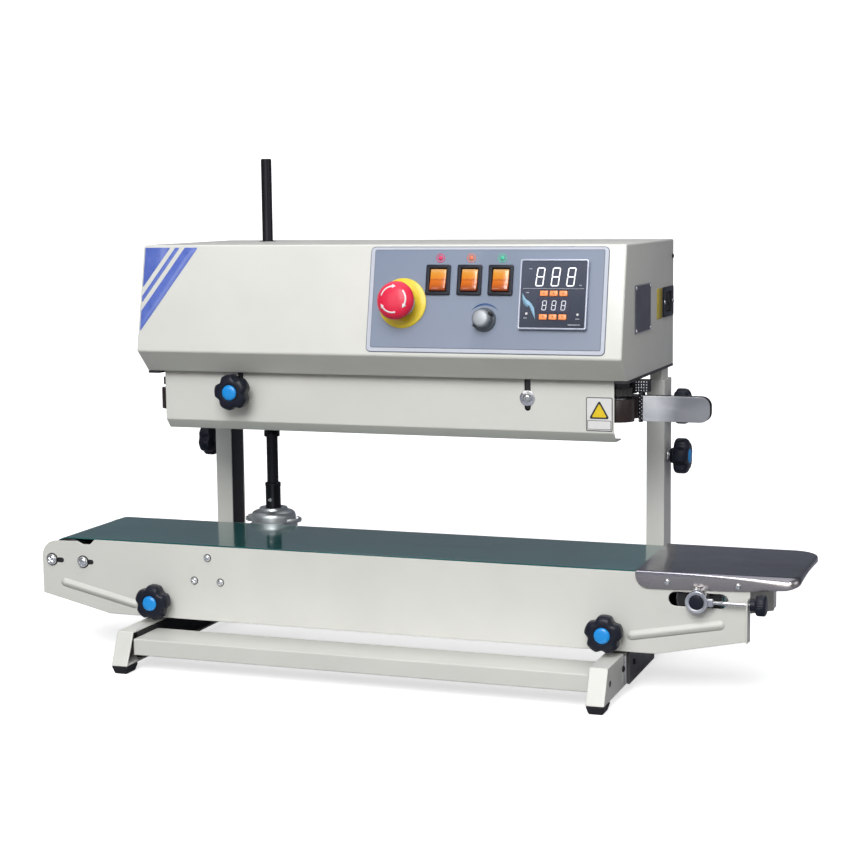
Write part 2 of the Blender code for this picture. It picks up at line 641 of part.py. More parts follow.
def panel_box(name, x, y, width, height, z0, z1, finish=None, cutter=False):
    """Block in the panel frame, centred on x, y and with its origin on the panel."""
    return box(name, (x - width / 2, y - height / 2, z0), (x + width / 2, y + height / 2, z1),
               finish, panel, cutter, origin=(x, y, 0))


def build_slide_posts():
    for side, label in SIDES:
        sheet("slide_post_" + label,
              [channel_outline(side, POST_IN, POST_OUT, COL_Y0 + POST_INSET_Y,
                               COL_Y1 - POST_INSET_Y)],
              POST_Z1 - POST_Z0, (0, 0, (POST_Z1 + POST_Z0) / 2), ROT_NONE, BEIGE, head_root)


def build_cover():
    """Sheet cover with closed ends, open at the bottom and cut out for the controls."""
    outline = [(HEAD_LIP_Y, HEAD_LIP_Z), (HEAD_BACK_Y, HEAD_LIP_Z), (HEAD_BACK_Y, HEAD_TOP),
               (HEAD_FRONT_TOP_Y, HEAD_TOP), (HEAD_FRONT_LOW_Y, HEAD_FRONT_LOW_Z)]
    cover = mesh_sheet("head_cover", [outline], 2 * HEAD_X, (0, 0, 0), ROT_OUTLINE_YZ, BEIGE,
                       head_root)
    edit = bmesh.new()
    edit.from_mesh(cover.data)
    to_world = cover.matrix_world.to_3x3()
    bottom = [face for face in edit.faces if (to_world @ face.normal).z < -0.99]
    bmesh.ops.delete(edit, geom=bottom, context='FACES_ONLY')
    edit.to_mesh(cover.data)
    edit.free()
    shell = cover.modifiers.new("sheet", 'SOLIDIFY')
    shell.thickness = THIN_SHEET * MM
    shell.offset = -1.0
    shell.use_even_offset = True
    shell.use_rim = True

    ctrl_hole = CTRL_BODY + 2 * CLEARANCE
    cut(cover,
        rod("hole_shaft_top", 9.0, 10, (DRIVE_X, SHAFT_Y, HEAD_TOP - 5), ROT_NONE, cutter=True),
        rod("hole_estop", 11.2, 12, (*ESTOP, -6), ROT_NONE, parent=panel, cutter=True),
        rod("hole_speed", 5.0, 12, (*SPEED, -6), ROT_NONE, parent=panel, cutter=True,
            segments=16),
        panel_box("hole_ctrl", *CTRL, ctrl_hole, ctrl_hole, -6, 6, cutter=True),
        *[panel_box("hole_rocker_%d" % i, x, ROCKER_Y, 24.6, 28.6, -6, 6, cutter=True)
          for i, x in enumerate(ROCKERS_X, 1)])


def build_chassis():
    """Plate below the cover, with two tabs that carry the guard."""
    outline = [(-HEAD_X, CHASSIS_END_Y), (-CHASSIS_NOTCH_X, CHASSIS_END_Y),
               (-CHASSIS_NOTCH_X, CHASSIS_FRONT_Y), (CHASSIS_NOTCH_X, CHASSIS_FRONT_Y),
               (CHASSIS_NOTCH_X, CHASSIS_END_Y), (HEAD_X, CHASSIS_END_Y),
               (HEAD_X, HEAD_BACK_Y), (-HEAD_X, HEAD_BACK_Y)]
    holes = [circle_outline(DRIVE_X, SHAFT_Y, 11.0)]
    y0, y1 = COL_Y0 + OPENING_INSET_Y, COL_Y1 - OPENING_INSET_Y
    for side, _ in SIDES:
        for row_sign, _ in ROWS:
            holes.append(circle_outline(side * WHEEL_X, row_sign * WHEEL_Y, 6.2, 16))
        holes.append([(side * x, y) for x, y in (
            (OPENING_IN, y0), (OPENING_OUT, y0), (OPENING_OUT, y1), (OPENING_IN, y1))])
    chassis = mesh_sheet("head_base_plate", [outline] + holes, CHASSIS_Z1 - CHASSIS_Z0,
                         (0, 0, (CHASSIS_Z0 + CHASSIS_Z1) / 2), ROT_NONE, BLACK_PAINT,
                         head_root)
    for side, label in SIDES:
        x, top = side * GUARD_SLOT_X, CHASSIS_Z1 - 0.6
        join(chassis, mesh_sheet(
            "tab_" + label,
            [[(x - TAB_HALF, TAB_Z0), (x + TAB_HALF, TAB_Z0), (x + TAB_HALF, top),
              (x - TAB_HALF, top)],
             circle_outline(x, GUARD_STUD_Z, GUARD_SLOT_R, 16)],
            TAB_T, (0, TAB_Y, 0), ROT_Z_TO_FRONT, cutter=True))


build_slide_posts()
build_cover()
build_chassis()
box("power_inlet", (HEAD_X + GAP, 109, 375.5), (HEAD_X + 4.5, 159, 408.5), BLACK_PLASTIC,
    head_root)

# ============================================================ head: controls
ESTOP_PROFILE = [               # radius, height above the panel
    (0, 32.0), (9, 31.6), (16, 29.6), (19.6, 26.2), (20.2, 23.0), (19.4, 20.2), (10.5, 18.6),
    (9.5, 14.4), (0, 14.4),
]
SPEED_PROFILE = [               # radius, height above the panel
    (0, 17.2), (8.2, 17.2), (9.0, 16.2), (9.4, 6.0), (13.4, 3.6), (13.6, 0.6), (3.0, 0.6),
    (3.0, -12.0), (0, -12.0),
]
ROCKER_W = 21.6
ROCKER_OUTLINE = [              # distance up the slope, height above the panel
    (-4.0, -6.0), (4.0, -6.0), (12.6, -2.0), (12.6, 2.4), (1.0, 3.0), (-1.0, 3.0),
    (-12.6, 5.6), (-12.6, 1.2),
]
KEY_W, KEY_H = 8.4, 5.6
KEY_ROWS_Y = (-51.3, -75.4)
KEY_OFFSETS_X = (-9.6, 0.6, 10.8)       # from the controller's centre


def build_emergency_stop():
    """Stem through the panel with a mushroom head."""
    rod("estop_stem", 6.0, 48.0, (*ESTOP, -34.0), ROT_NONE, BLACK_PLASTIC, panel, segments=20)
    turned("estop_button", ESTOP_PROFILE, (*ESTOP, 0), ROT_NONE, RED, panel)


def build_rockers():
    """Two-faced paddles, their width along the panel's X."""
    for i, x in enumerate(ROCKERS_X, 1):
        mesh_sheet("rocker_%d" % i, [ROCKER_OUTLINE], ROCKER_W, (x, ROCKER_Y, 0),
                   ROT_OUTLINE_YZ, ORANGE, panel)


def build_temperature_controller():
    ctrl = panel_box("temp_controller", *CTRL, CTRL_FACE, CTRL_FACE, GAP, 6.0, DARK_FACE)
    join(ctrl, panel_box("ctrl_body", *CTRL, CTRL_BODY, CTRL_BODY, -62.0, 1.5, cutter=True))
    centres = [(CTRL[0] + offset, y) for y in KEY_ROWS_Y for offset in KEY_OFFSETS_X]
    for i, (x, y) in enumerate(centres, 1):
        cut(ctrl, panel_box("key_pocket_%d" % i, x, y, KEY_W + 2 * CLEARANCE,
                            KEY_H + 2 * CLEARANCE, 3.2, 9.0, cutter=True))
        panel_box("temp_key_%d" % i, x, y, KEY_W, KEY_H, 4.6, 7.0, ORANGE)


build_emergency_stop()
build_rockers()
turned("speed_knob", SPEED_PROFILE, (*SPEED, 0), ROT_NONE, SILVER, panel)
build_temperature_controller()

# ================================================ head: guard and band drive
GUARD_X, GUARD_Y = 256.5, -42.0
GUARD_TOP, GUARD_LOW = 333.0, 264.0
GUARD_BEND_Y, GUARD_LIP_Y, GUARD_LIP_Z = GUARD_Y + 9, -12.0, 256.0
GUARD_SLOT_Z0, GUARD_SLOT_Z1 = 287.0, 327.0

BAND_Z0, BAND_Z1, BAND_T = 276.5, 299.5, 0.7
WHEEL_PROFILE = [               # radius, z; spindle on top
    (0, 338), (5, 338), (5, 300.6), (9, 299.4), (WHEEL_R, 299.0), (WHEEL_R, 277.0),
    (4, 276.4), (0, 276.4),
]
HUB_PROFILE = [                 # radius, z; closed round the bore
    (24, 337), (24, 330), (9.4, 329), (8.4, 237.5), (9.3, 236.5), (9.3, 231), (6.9, 231),
    (6.9, 337),
]
MOTOR_PROFILE = [               # radius, distance along the motor
    (0, 125), (24, 124), (33, 118), (33, 8), (24, 0), (0, 0),
]

GUIDE_X0, GUIDE_X1, GUIDE_Z0, GUIDE_Z1 = 273.0, 344.6, 274.3, 300.9
GUIDE_CORNER, GUIDE_Y = 10.0, 5.0


def build_guard():
    """Bent sheet in front of the bands, slotted so that it slides up."""
    guard = mesh_sheet(
        "front_guard",
        [[(GUARD_Y, GUARD_TOP), (GUARD_Y, GUARD_LOW), (GUARD_BEND_Y, GUARD_LIP_Z),
          (GUARD_LIP_Y, GUARD_LIP_Z), (GUARD_LIP_Y, GUARD_LIP_Z + SHEET),
          (GUARD_BEND_Y + 0.4 * SHEET, GUARD_LIP_Z + SHEET),
          (GUARD_Y + SHEET, GUARD_LOW + 0.45 * SHEET), (GUARD_Y + SHEET, GUARD_TOP)]],
        2 * GUARD_X, (0, 0, 0), ROT_OUTLINE_YZ, BEIGE, head_root)
    for side, label in SIDES:
        slot = slot_outline(GUARD_SLOT_Z0, GUARD_SLOT_Z1, side * GUARD_SLOT_X, GUARD_SLOT_R,
                            vertical=True)
        cut(guard, mesh_sheet("guard_slot_" + label, [slot], 8, (0, GUARD_Y, 0),
                              ROT_Z_TO_FRONT, cutter=True))
    star_knob("guard_knob", (-GUARD_SLOT_X, GUARD_Y, GUARD_STUD_Z), ROT_Z_TO_FRONT, 6.5, 2.8,
              head_root, neck=11.0)


def build_band_row(row_sign, row):
    """One band loop on two wheels, with a heating block hung inside it."""
    y = row_sign * WHEEL_Y
    for x, end in ((-WHEEL_X, "outfeed"), (WHEEL_X, "infeed")):
        turned("band_wheel_%s_%s" % (row, end), WHEEL_PROFILE, (x, y, 0), ROT_NONE, STEEL,
               head_root, steps=20)
    loop = [(-WHEEL_X, y, WHEEL_R + GAP), (WHEEL_X, y, WHEEL_R + GAP)]
    sheet("seal_band_" + row, [belt_path(loop, BAND_T, 10), belt_path(loop, 0, 10)],
          BAND_Z1 - BAND_Z0, (0, 0, (BAND_Z0 + BAND_Z1) / 2), ROT_NONE, PTFE, head_root)
    heater = box("heater_block_" + row, (70, row_sign * 1.6, 279), (150, row_sign * 26.0, 297),
                 BRASS, head_root)
    join(heater, box("heater_neck_" + row, (100, row_sign * 8, 290),
                     (120, row_sign * 22, CHASSIS_Z0 - GAP), cutter=True))


def build_motor():
    """Drive motor lying on the chassis plate, with its gear case and foot."""
    motor = turned("drive_motor", MOTOR_PROFILE, (-30, 92, CHASSIS_Z1 + 38), ROT_Z_TO_RIGHT,
                   DARK_STEEL, head_root)
    underside = CHASSIS_Z1 + GAP
    join(motor,
         box("motor_gearcase", (-95, 60, underside), (-24, 124, CHASSIS_Z1 + 72), cutter=True),
         box("motor_foot", (0, 66, underside), (60, 118, CHASSIS_Z1 + 12), cutter=True))


def build_infeed_guide():
    """Two bridged plates that lead the bag mouth between the bands."""
    corner_x = GUIDE_X1 - GUIDE_CORNER
    outline = [(GUIDE_X0, GUIDE_Z0),
               *arc(corner_x, GUIDE_Z0 + GUIDE_CORNER, GUIDE_CORNER, -90, 0, 5),
               *arc(corner_x, GUIDE_Z1 - GUIDE_CORNER, GUIDE_CORNER, 0, 90, 5),
               (GUIDE_X0, GUIDE_Z1)]
    guide = mesh_sheet("infeed_guide", [outline], THIN_SHEET, (0, -GUIDE_Y, 0), ROT_Z_TO_FRONT,
                       STAINLESS, head_root)
    join(guide,
         mesh_sheet("guide_rear", [outline], THIN_SHEET, (0, GUIDE_Y, 0), ROT_Z_TO_FRONT,
                    cutter=True),
         box("guide_bridge", (GUIDE_X0 + 0.2, -GUIDE_Y - 0.3, 300.2),
             (GUIDE_X0 + 5, GUIDE_Y + 0.3, CHASSIS_Z0 - GAP), cutter=True))


build_guard()
for y_sign, row_name in ROWS:
    build_band_row(y_sign, row_name)
# the hub turns with the shaft, which slides through it as the head rises
turned("drive_hub", HUB_PROFILE, (DRIVE_X, SHAFT_Y, 0), ROT_NONE, DARK_STEEL, head_root,
       closed=True)
build_motor()
build_infeed_guide()
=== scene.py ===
import json
import math

import bmesh
import bpy
from mathutils import Matrix, Vector

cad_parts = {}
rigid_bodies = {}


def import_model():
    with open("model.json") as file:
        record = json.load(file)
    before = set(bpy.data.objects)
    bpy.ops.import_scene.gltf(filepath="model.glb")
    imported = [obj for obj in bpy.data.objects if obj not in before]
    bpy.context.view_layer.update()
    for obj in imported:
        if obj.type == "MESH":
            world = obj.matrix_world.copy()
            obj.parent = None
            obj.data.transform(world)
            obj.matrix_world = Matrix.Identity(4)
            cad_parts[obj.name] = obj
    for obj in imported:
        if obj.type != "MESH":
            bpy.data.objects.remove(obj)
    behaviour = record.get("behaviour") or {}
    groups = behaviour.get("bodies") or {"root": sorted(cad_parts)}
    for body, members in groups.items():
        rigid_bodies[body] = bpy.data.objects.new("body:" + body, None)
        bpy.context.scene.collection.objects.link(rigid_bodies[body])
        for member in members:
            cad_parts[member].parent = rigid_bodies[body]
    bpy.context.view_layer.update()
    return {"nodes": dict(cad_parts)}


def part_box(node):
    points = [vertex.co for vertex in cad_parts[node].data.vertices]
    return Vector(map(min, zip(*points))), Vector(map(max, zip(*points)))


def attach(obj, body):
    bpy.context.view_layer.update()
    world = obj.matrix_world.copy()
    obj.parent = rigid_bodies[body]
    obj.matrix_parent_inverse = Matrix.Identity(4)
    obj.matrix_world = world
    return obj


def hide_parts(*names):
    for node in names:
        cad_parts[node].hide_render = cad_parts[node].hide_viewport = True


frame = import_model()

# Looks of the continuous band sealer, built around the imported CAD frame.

NODES = frame["nodes"]
MM = 0.001
scene = bpy.context.scene


def rad(a):
    return math.radians(a)


# =============================================================== node materials
def new_mat(name):
    m = bpy.data.materials.new(name)
    m.use_nodes = True
    nt = m.node_tree
    bsdf = nt.nodes["Principled BSDF"]
    return m, nt, bsdf


def coords(nt, scale=(1, 1, 1), rot=(0, 0, 0)):
    tc = nt.nodes.new("ShaderNodeTexCoord")
    mp = nt.nodes.new("ShaderNodeMapping")
    mp.inputs["Scale"].default_value = scale
    mp.inputs["Rotation"].default_value = rot
    nt.links.new(tc.outputs["Object"], mp.inputs["Vector"])
    return mp.outputs["Vector"]


def noise(nt, vec, scale, detail=3.0, rough=0.55):
    n = nt.nodes.new("ShaderNodeTexNoise")
    n.inputs["Scale"].default_value = scale
    n.inputs["Detail"].default_value = detail
    n.inputs["Roughness"].default_value = rough
    nt.links.new(vec, n.inputs["Vector"])
    return n.outputs["Fac"]


def ramp(nt, fac, stops):
    r = nt.nodes.new("ShaderNodeValToRGB")
    while len(r.color_ramp.elements) > 1:
        r.color_ramp.elements.remove(r.color_ramp.elements[-1])
    r.color_ramp.elements[0].position = stops[0][0]
    r.color_ramp.elements[0].color = (*stops[0][1], 1)
    for p, c in stops[1:]:
        e = r.color_ramp.elements.new(p)
        e.color = (*c, 1)
    nt.links.new(fac, r.inputs["Fac"])
    return r.outputs["Color"]


def maprange(nt, fac, a, b, lo=0.0, hi=1.0):
    m = nt.nodes.new("ShaderNodeMapRange")
    m.inputs["From Min"].default_value = lo
    m.inputs["From Max"].default_value = hi
    m.inputs["To Min"].default_value = a
    m.inputs["To Max"].default_value = b
    nt.links.new(fac, m.inputs["Value"])
    return m.outputs["Result"]


def math_node(nt, op, a, b=None):
    m = nt.nodes.new("ShaderNodeMath")
    m.operation = op
    for i, v in enumerate((a, b)):
        if v is None:
            continue
        if isinstance(v, (int, float)):
            m.inputs[i].default_value = v
        else:
            nt.links.new(v, m.inputs[i])
    return m.outputs[0]


def mix_rgb(nt, fac, a, b, mode='MIX'):
    m = nt.nodes.new("ShaderNodeMix")
    m.data_type = 'RGBA'
    m.blend_type = mode
    for sock, v in ((m.inputs[0], fac), (m.inputs[6], a), (m.inputs[7], b)):
        if isinstance(v, (int, float)):
            sock.default_value = v
        elif isinstance(v, tuple):
            sock.default_value = (*v, 1.0) if len(v) == 3 else v
        else:
            nt.links.new(v, sock)
    return m.outputs[2]


def bump(nt, bsdf, height, strength, distance, normal=None):
    b = nt.nodes.new("ShaderNodeBump")
    b.inputs["Strength"].default_value = strength
    b.inputs["Distance"].default_value = distance
    nt.links.new(height, b.inputs["Height"])
    if normal is not None:
        nt.links.new(normal, b.inputs["Normal"])
    nt.links.new(b.outputs["Normal"], bsdf.inputs["Normal"])
    return b.outputs["Normal"]


def edge_mask(nt, radius=0.0012, lo=0.02, hi=0.25):
    """1 near sharp edges, 0 on flats."""
    bev = nt.nodes.new("ShaderNodeBevel")
    bev.samples = 4
    bev.inputs["Radius"].default_value = radius
    geo = nt.nodes.new("ShaderNodeNewGeometry")
    dot = nt.nodes.new("ShaderNodeVectorMath")
    dot.operation = 'DOT_PRODUCT'
    nt.links.new(bev.outputs["Normal"], dot.inputs[0])
    nt.links.new(geo.outputs["Normal"], dot.inputs[1])
    inv = math_node(nt, 'SUBTRACT', 1.0, dot.outputs["Value"])
    return maprange(nt, inv, 0.0, 1.0, lo, hi), bev.outputs["Normal"]


def enamel(name, base, rough=0.36, grain=1500.0, wear=(0.62, 0.60, 0.55), coat=0.25, metallic=0.0,
           mottle=0.03, grain_strength=0.12):
    """Powder-coated sheet steel: fine orange peel, faint mottling, rubbed edges, handling marks."""
    m, nt, b = new_mat(name)
    v = coords(nt)
    n_big = noise(nt, v, 9.0, 4.0)
    n_mid = noise(nt, v, 60.0, 3.0)
    dark = tuple(c * (1 - mottle * 1.6) for c in base)
    light = tuple(min(1.0, c * (1 + mottle)) for c in base)
    col = ramp(nt, n_big, [(0.3, dark), (0.7, light)])
    mask, bn = edge_mask(nt)
    chip = math_node(nt, 'MULTIPLY', mask, maprange(nt, n_mid, 0.0, 0.75, 0.45, 0.65))
    col = mix_rgb(nt, chip, col, wear)
    nt.links.new(col, b.inputs["Base Color"])
    nt.links.new(maprange(nt, n_mid, rough - 0.05, rough + 0.07, 0.3, 0.7), b.inputs["Roughness"])
    b.inputs["Metallic"].default_value = metallic
    b.inputs["Coat Weight"].default_value = coat
    b.inputs["Coat Roughness"].default_value = 0.18
    peel = noise(nt, v, grain, 2.0)
    bump(nt, b, peel, grain_strength, 0.00006, bn)
    return m


def plastic(name, base, rough=0.4, grain=2200.0, strength=0.25, coat=0.0, sheen=0.0, var=0.15,
            emission=None, spec=0.5):
    """Moulded plastic: fine spark-eroded grain, slight colour and gloss variation."""
    m, nt, b = new_mat(name)
    v = coords(nt)
    n = noise(nt, v, 120.0, 4.0)
    col = ramp(nt, n, [(0.25, tuple(c * (1 - var) for c in base)),
                       (0.75, tuple(min(1, c * (1 + var)) for c in base))])
    mask, bn = edge_mask(nt, 0.0006)
    # edges a little lighter: painted highlight along the edges
    col = mix_rgb(nt, math_node(nt, 'MULTIPLY', mask, 0.25), col,
                  tuple(min(1, c + 0.12) for c in base))
    nt.links.new(col, b.inputs["Base Color"])
    nt.links.new(maprange(nt, n, rough - 0.06, rough + 0.08), b.inputs["Roughness"])
    b.inputs["Coat Weight"].default_value = coat
    b.inputs["Sheen Weight"].default_value = sheen
    b.inputs["Specular IOR Level"].default_value = spec
    bump(nt, b, noise(nt, v, grain, 2.0), strength, 0.00004, bn)
    if emission:
        b.inputs["Emission Color"].default_value = (*emission[0], 1)
        b.inputs["Emission Strength"].default_value = emission[1]
    return m


def metal(name, base, rough=0.3, brush=(30, 2500, 2500), strength=0.25, var=0.06, metallic=1.0,
          rot=(0, 0, 0), aniso=0.0):
    """Machined or brushed metal: fine directional scratches, smudges in the gloss."""
    m, nt, b = new_mat(name)
    v = coords(nt, brush, rot)
    n = noise(nt, v, 1.0, 4.0, 0.65)
    smudge = noise(nt, coords(nt), 28.0, 4.0)
    col = ramp(nt, n, [(0.2, tuple(c * (1 - var) for c in base)),
                       (0.8, tuple(min(1, c * (1 + var)) for c in base))])
    nt.links.new(col, b.inputs["Base Color"])
    r = math_node(nt, 'ADD', maprange(nt, n, rough - 0.05, rough + 0.05),
                  maprange(nt, smudge, -0.03, 0.07, 0.35, 0.7))
    nt.links.new(r, b.inputs["Roughness"])
    b.inputs["Metallic"].default_value = metallic
    b.inputs["Anisotropic"].default_value = aniso
    _, bn = edge_mask(nt, 0.0005)
    bump(nt, b, n, strength, 0.00003, bn)
    return m


BEIGE = enamel("mat_beige_enamel", (0.735, 0.735, 0.69))
BEIGE_IN = enamel("mat_beige_inner", (0.70, 0.70, 0.66), rough=0.45)
BLACK_PAINT = enamel("mat_black_paint", (0.018, 0.018, 0.02), rough=0.42, wear=(0.12, 0.12, 0.12),
                     coat=0.1)
BLACK = plastic("mat_black_plastic", (0.009, 0.011, 0.021), 0.36, coat=0.0, spec=0.28)
BLACK_MATT = plastic("mat_black_matt", (0.010, 0.010, 0.012), 0.6, strength=0.35)
BLUE_CAP = plastic("mat_blue_cap", (0.008, 0.30, 0.80), 0.28, strength=0.08, coat=0.4, var=0.06)
RED = plastic("mat_red_button", (0.80, 0.012, 0.060), 0.42, strength=0.06, coat=0.1, var=0.04)
YELLOW = plastic("mat_yellow_disc", (0.84, 0.66, 0.03), 0.40, strength=0.08, coat=0.2, var=0.06)
WHITE_INK = plastic("mat_white_ink", (0.86, 0.86, 0.86), 0.4, strength=0.05, var=0.02)
RUBBER = plastic("mat_rubber", (0.012, 0.012, 0.016), 0.72, grain=1400, strength=0.5)
RUBBER_BELT = plastic("mat_toothed_rubber", (0.05, 0.048, 0.045), 0.55, grain=1400, strength=0.5)
STAINLESS = metal("mat_stainless", (0.56, 0.57, 0.60), 0.27, (2600, 30, 2600), 0.18, aniso=0.3)
TRAY = metal("mat_tray_stainless", (0.40, 0.40, 0.45), 0.20, (25, 2200, 2200), 0.16, aniso=0.3)
STEEL = metal("mat_machined_steel", (0.50, 0.50, 0.51), 0.30, (1800, 1800, 40), 0.2)
ZINC = metal("mat_zinc_screw", (0.62, 0.62, 0.63), 0.24, (900, 900, 900), 0.15)
CAST = metal("mat_cast_alloy", (0.60, 0.63, 0.64), 0.40, (700, 700, 700), 0.5, var=0.12)
DARK_STEEL = metal("mat_blackened_steel", (0.022, 0.022, 0.026), 0.34, (1500, 1500, 60), 0.3,
                   var=0.3, metallic=0.75)
BRASS = metal("mat_brass", (0.66, 0.46, 0.17), 0.32, (400, 400, 400), 0.2)
SILVER = metal("mat_silver_plastic", (0.60, 0.62, 0.64), 0.3, (300, 300, 300), 0.08, metallic=0.55)
GUIDE = metal("mat_guide_stainless", (0.74, 0.745, 0.75), 0.36, (30, 2600, 2600), 0.15, aniso=0.2)
CHROME = metal("mat_bright_metal", (0.78, 0.79, 0.80), 0.12, (500, 500, 500), 0.06)


def belt_material():
    """Glossy PVC belting: green top coat over a woven carrier that shows as a faint grid."""
    m, nt, b = new_mat("mat_green_belt")
    v = coords(nt)
    n = noise(nt, v, 14.0, 5.0)
    col = ramp(nt, n, [(0.3, (0.014, 0.100, 0.098)), (0.7, (0.022, 0.128, 0.126))])
    nt.links.new(col, b.inputs["Base Color"])
    w1 = nt.nodes.new("ShaderNodeTexWave")
    w1.bands_direction = 'X'
    w1.inputs["Scale"].default_value = 180.0
    w1.inputs["Distortion"].default_value = 0.6
    w2 = nt.nodes.new("ShaderNodeTexWave")
    w2.bands_direction = 'Y'
    w2.inputs["Scale"].default_value = 180.0
    w2.inputs["Distortion"].default_value = 0.6
    nt.links.new(v, w1.inputs["Vector"])
    nt.links.new(v, w2.inputs["Vector"])
    weave = math_node(nt, 'MULTIPLY', w1.outputs["Fac"], w2.outputs["Fac"])
    smear = noise(nt, coords(nt, (6, 60, 60)), 1.0, 4.0)
    nt.links.new(maprange(nt, smear, 0.10, 0.20, 0.3, 0.7), b.inputs["Roughness"])
    b.inputs["Specular IOR Level"].default_value = 0.75
    b.inputs["Coat Weight"].default_value = 0.6
    b.inputs["Coat Roughness"].default_value = 0.07
    bump(nt, b, weave, 0.10, 0.00003)
    return m


BELT = belt_material()


def band_material():
    """Brown PTFE-coated glass cloth: visible square weave, waxy sheen."""
    m, nt, b = new_mat("mat_ptfe_band")
    v = coords(nt)
    w1 = nt.nodes.new("ShaderNodeTexWave")
    w1.bands_direction = 'X'
    w1.inputs["Scale"].default_value = 420.0
    w2 = nt.nodes.new("ShaderNodeTexWave")
    w2.bands_direction = 'Z'
    w2.inputs["Scale"].default_value = 420.0
    nt.links.new(v, w1.inputs["Vector"])
    nt.links.new(v, w2.inputs["Vector"])
    weave = math_node(nt, 'ADD', w1.outputs["Fac"], w2.outputs["Fac"])
    n = noise(nt, v, 60.0, 4.0)
    col = ramp(nt, n, [(0.3, (0.014, 0.006, 0.005)), (0.7, (0.028, 0.012, 0.008))])
    nt.links.new(col, b.inputs["Base Color"])
    b.inputs["Roughness"].default_value = 0.42
    bump(nt, b, weave, 0.35, 0.00008)
    return m


BAND = band_material()


# =============================================================== mesh helpers
ROT_FRONT = Matrix.Rotation(rad(90), 4, 'X')      # local Z -> -Y, local Y -> +Z
ROT_BACK = Matrix.Rotation(rad(-90), 4, 'X')      # local Z -> +Y
ROT_RIGHT = Matrix.Rotation(rad(90), 4, 'Y')      # local Z -> +X
ROT_LEFT = Matrix.Rotation(rad(-90), 4, 'Y')      # local Z -> -X
ROT_YZ = Matrix(((0, 0, 1, 0), (1, 0, 0, 0), (0, 1, 0, 0), (0, 0, 0, 1)))  # outline (y, z)
IDENT = Matrix.Identity(4)


# the sizes below are measured from the middle of the belt, at floor level
_rail_l, _rail_r, _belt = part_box("base_rail_left"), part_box("base_rail_right"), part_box("conveyor_belt")
MID = Vector(((_rail_l[0].x + _rail_r[1].x) / 2, (_belt[0].y + _belt[1].y) / 2, 0))
TO_WORLD = Matrix.Translation(MID)


def at(x, y, z, rot=IDENT):
    return Matrix.Translation((x * MM, y * MM, z * MM)) @ rot


def put(name, mesh, mat, matrix, body, smooth=35.0):
    if mat is not None and not mesh.materials:
        mesh.materials.append(mat)
    if smooth is not None:
        mesh.shade_smooth()
        mesh.set_sharp_from_angle(angle=rad(smooth))
    ob = bpy.data.objects.new(name, mesh)
    scene.collection.objects.link(ob)
    ob.matrix_world = TO_WORLD @ matrix
    bpy.context.view_layer.update()
    if body is not None:
        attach(ob, body)
    return ob


def bm_mesh(name, bm):
    bmesh.ops.recalc_face_normals(bm, faces=bm.faces)
    me = bpy.data.meshes.new(name)
    bm.to_mesh(me)
    bm.free()
    return me


def lathe_mesh(name, profile, steps=64, closed=False):
    """Turned mesh about local Z from (radius, height) points in mm."""
    bm = bmesh.new()
    rings = []
    for r, z in profile:
        if r <= 1e-6:
            rings.append([bm.verts.new((0, 0, z * MM))])
        else:
            rings.append([bm.verts.new((r * MM * math.cos(2 * math.pi * i / steps),
                                        r * MM * math.sin(2 * math.pi * i / steps), z * MM))
                          for i in range(steps)])
    pairs = list(zip(rings, rings[1:]))
    if closed:
        pairs.append((rings[-1], rings[0]))
    for a, b in pairs:
        for i in range(steps):
            j = (i + 1) % steps
            if len(a) == 1 and len(b) == 1:
                continue
            if len(a) == 1:
                bm.faces.new((a[0], b[i], b[j]))
            elif len(b) == 1:
                bm.faces.new((a[i], b[0], a[j]))
            else:
                bm.faces.new((a[i], b[i], b[j], a[j]))
    return bm_mesh(name, bm)


def lathe(name, profile, mat, matrix, body, steps=64, closed=False, smooth=35.0):
    return put(name, lathe_mesh(name, profile, steps, closed), mat, matrix, body, smooth)


def outline_mesh(name, outlines, thickness, bevel=0.0, res=2):
    """Flat plate from outlines in mm (first outer, then holes), with rounded rims."""
    curve = bpy.data.curves.new(name, 'CURVE')
    curve.dimensions = '2D'
    curve.fill_mode = 'BOTH'
    curve.extrude = max(thickness / 2 - bevel, 0.0) * MM
    curve.bevel_depth = bevel * MM
    curve.bevel_resolution = res
    curve.offset = -bevel * MM
    for outline in outlines:
        s = curve.splines.new('POLY')
        s.points.add(len(outline) - 1)
        for p, (x, y) in zip(s.points, outline):
            p.co = (x * MM, y * MM, 0, 1)
        s.use_cyclic_u = True
    tmp = bpy.data.objects.new(name + "_tmp", curve)
    scene.collection.objects.link(tmp)
    bpy.context.view_layer.update()
    me = bpy.data.meshes.new_from_object(tmp.evaluated_get(bpy.context.evaluated_depsgraph_get()))
    bpy.data.objects.remove(tmp, do_unlink=True)
    bm = bmesh.new()
    bm.from_mesh(me)
    bmesh.ops.remove_doubles(bm, verts=bm.verts, dist=0.000005)
    bpy.data.meshes.remove(me)
    return bm_mesh(name, bm)


def plate(name, outlines, thickness, mat, matrix, body, bevel=0.0, res=2, smooth=35.0):
    return put(name, outline_mesh(name, outlines, thickness, bevel, res), mat, matrix, body, smooth)


def block_mesh(name, size, bevel=0.5, seg=3, taper=0.0):
    bm = bmesh.new()
    bmesh.ops.create_cube(bm, size=1.0)
    for v in bm.verts:
        low = v.co.z < 0
        v.co = Vector((v.co.x * size[0], v.co.y * size[1], v.co.z * size[2])) * MM
        if low and taper:
            v.co.x -= math.copysign(taper * MM, v.co.x)
            v.co.y -= math.copysign(taper * MM, v.co.y)
    if bevel:
        bmesh.ops.bevel(bm, geom=list(bm.edges), offset=bevel * MM, segments=seg, profile=0.5,
                        affect='EDGES', clamp_overlap=True)
    return bm_mesh(name, bm)


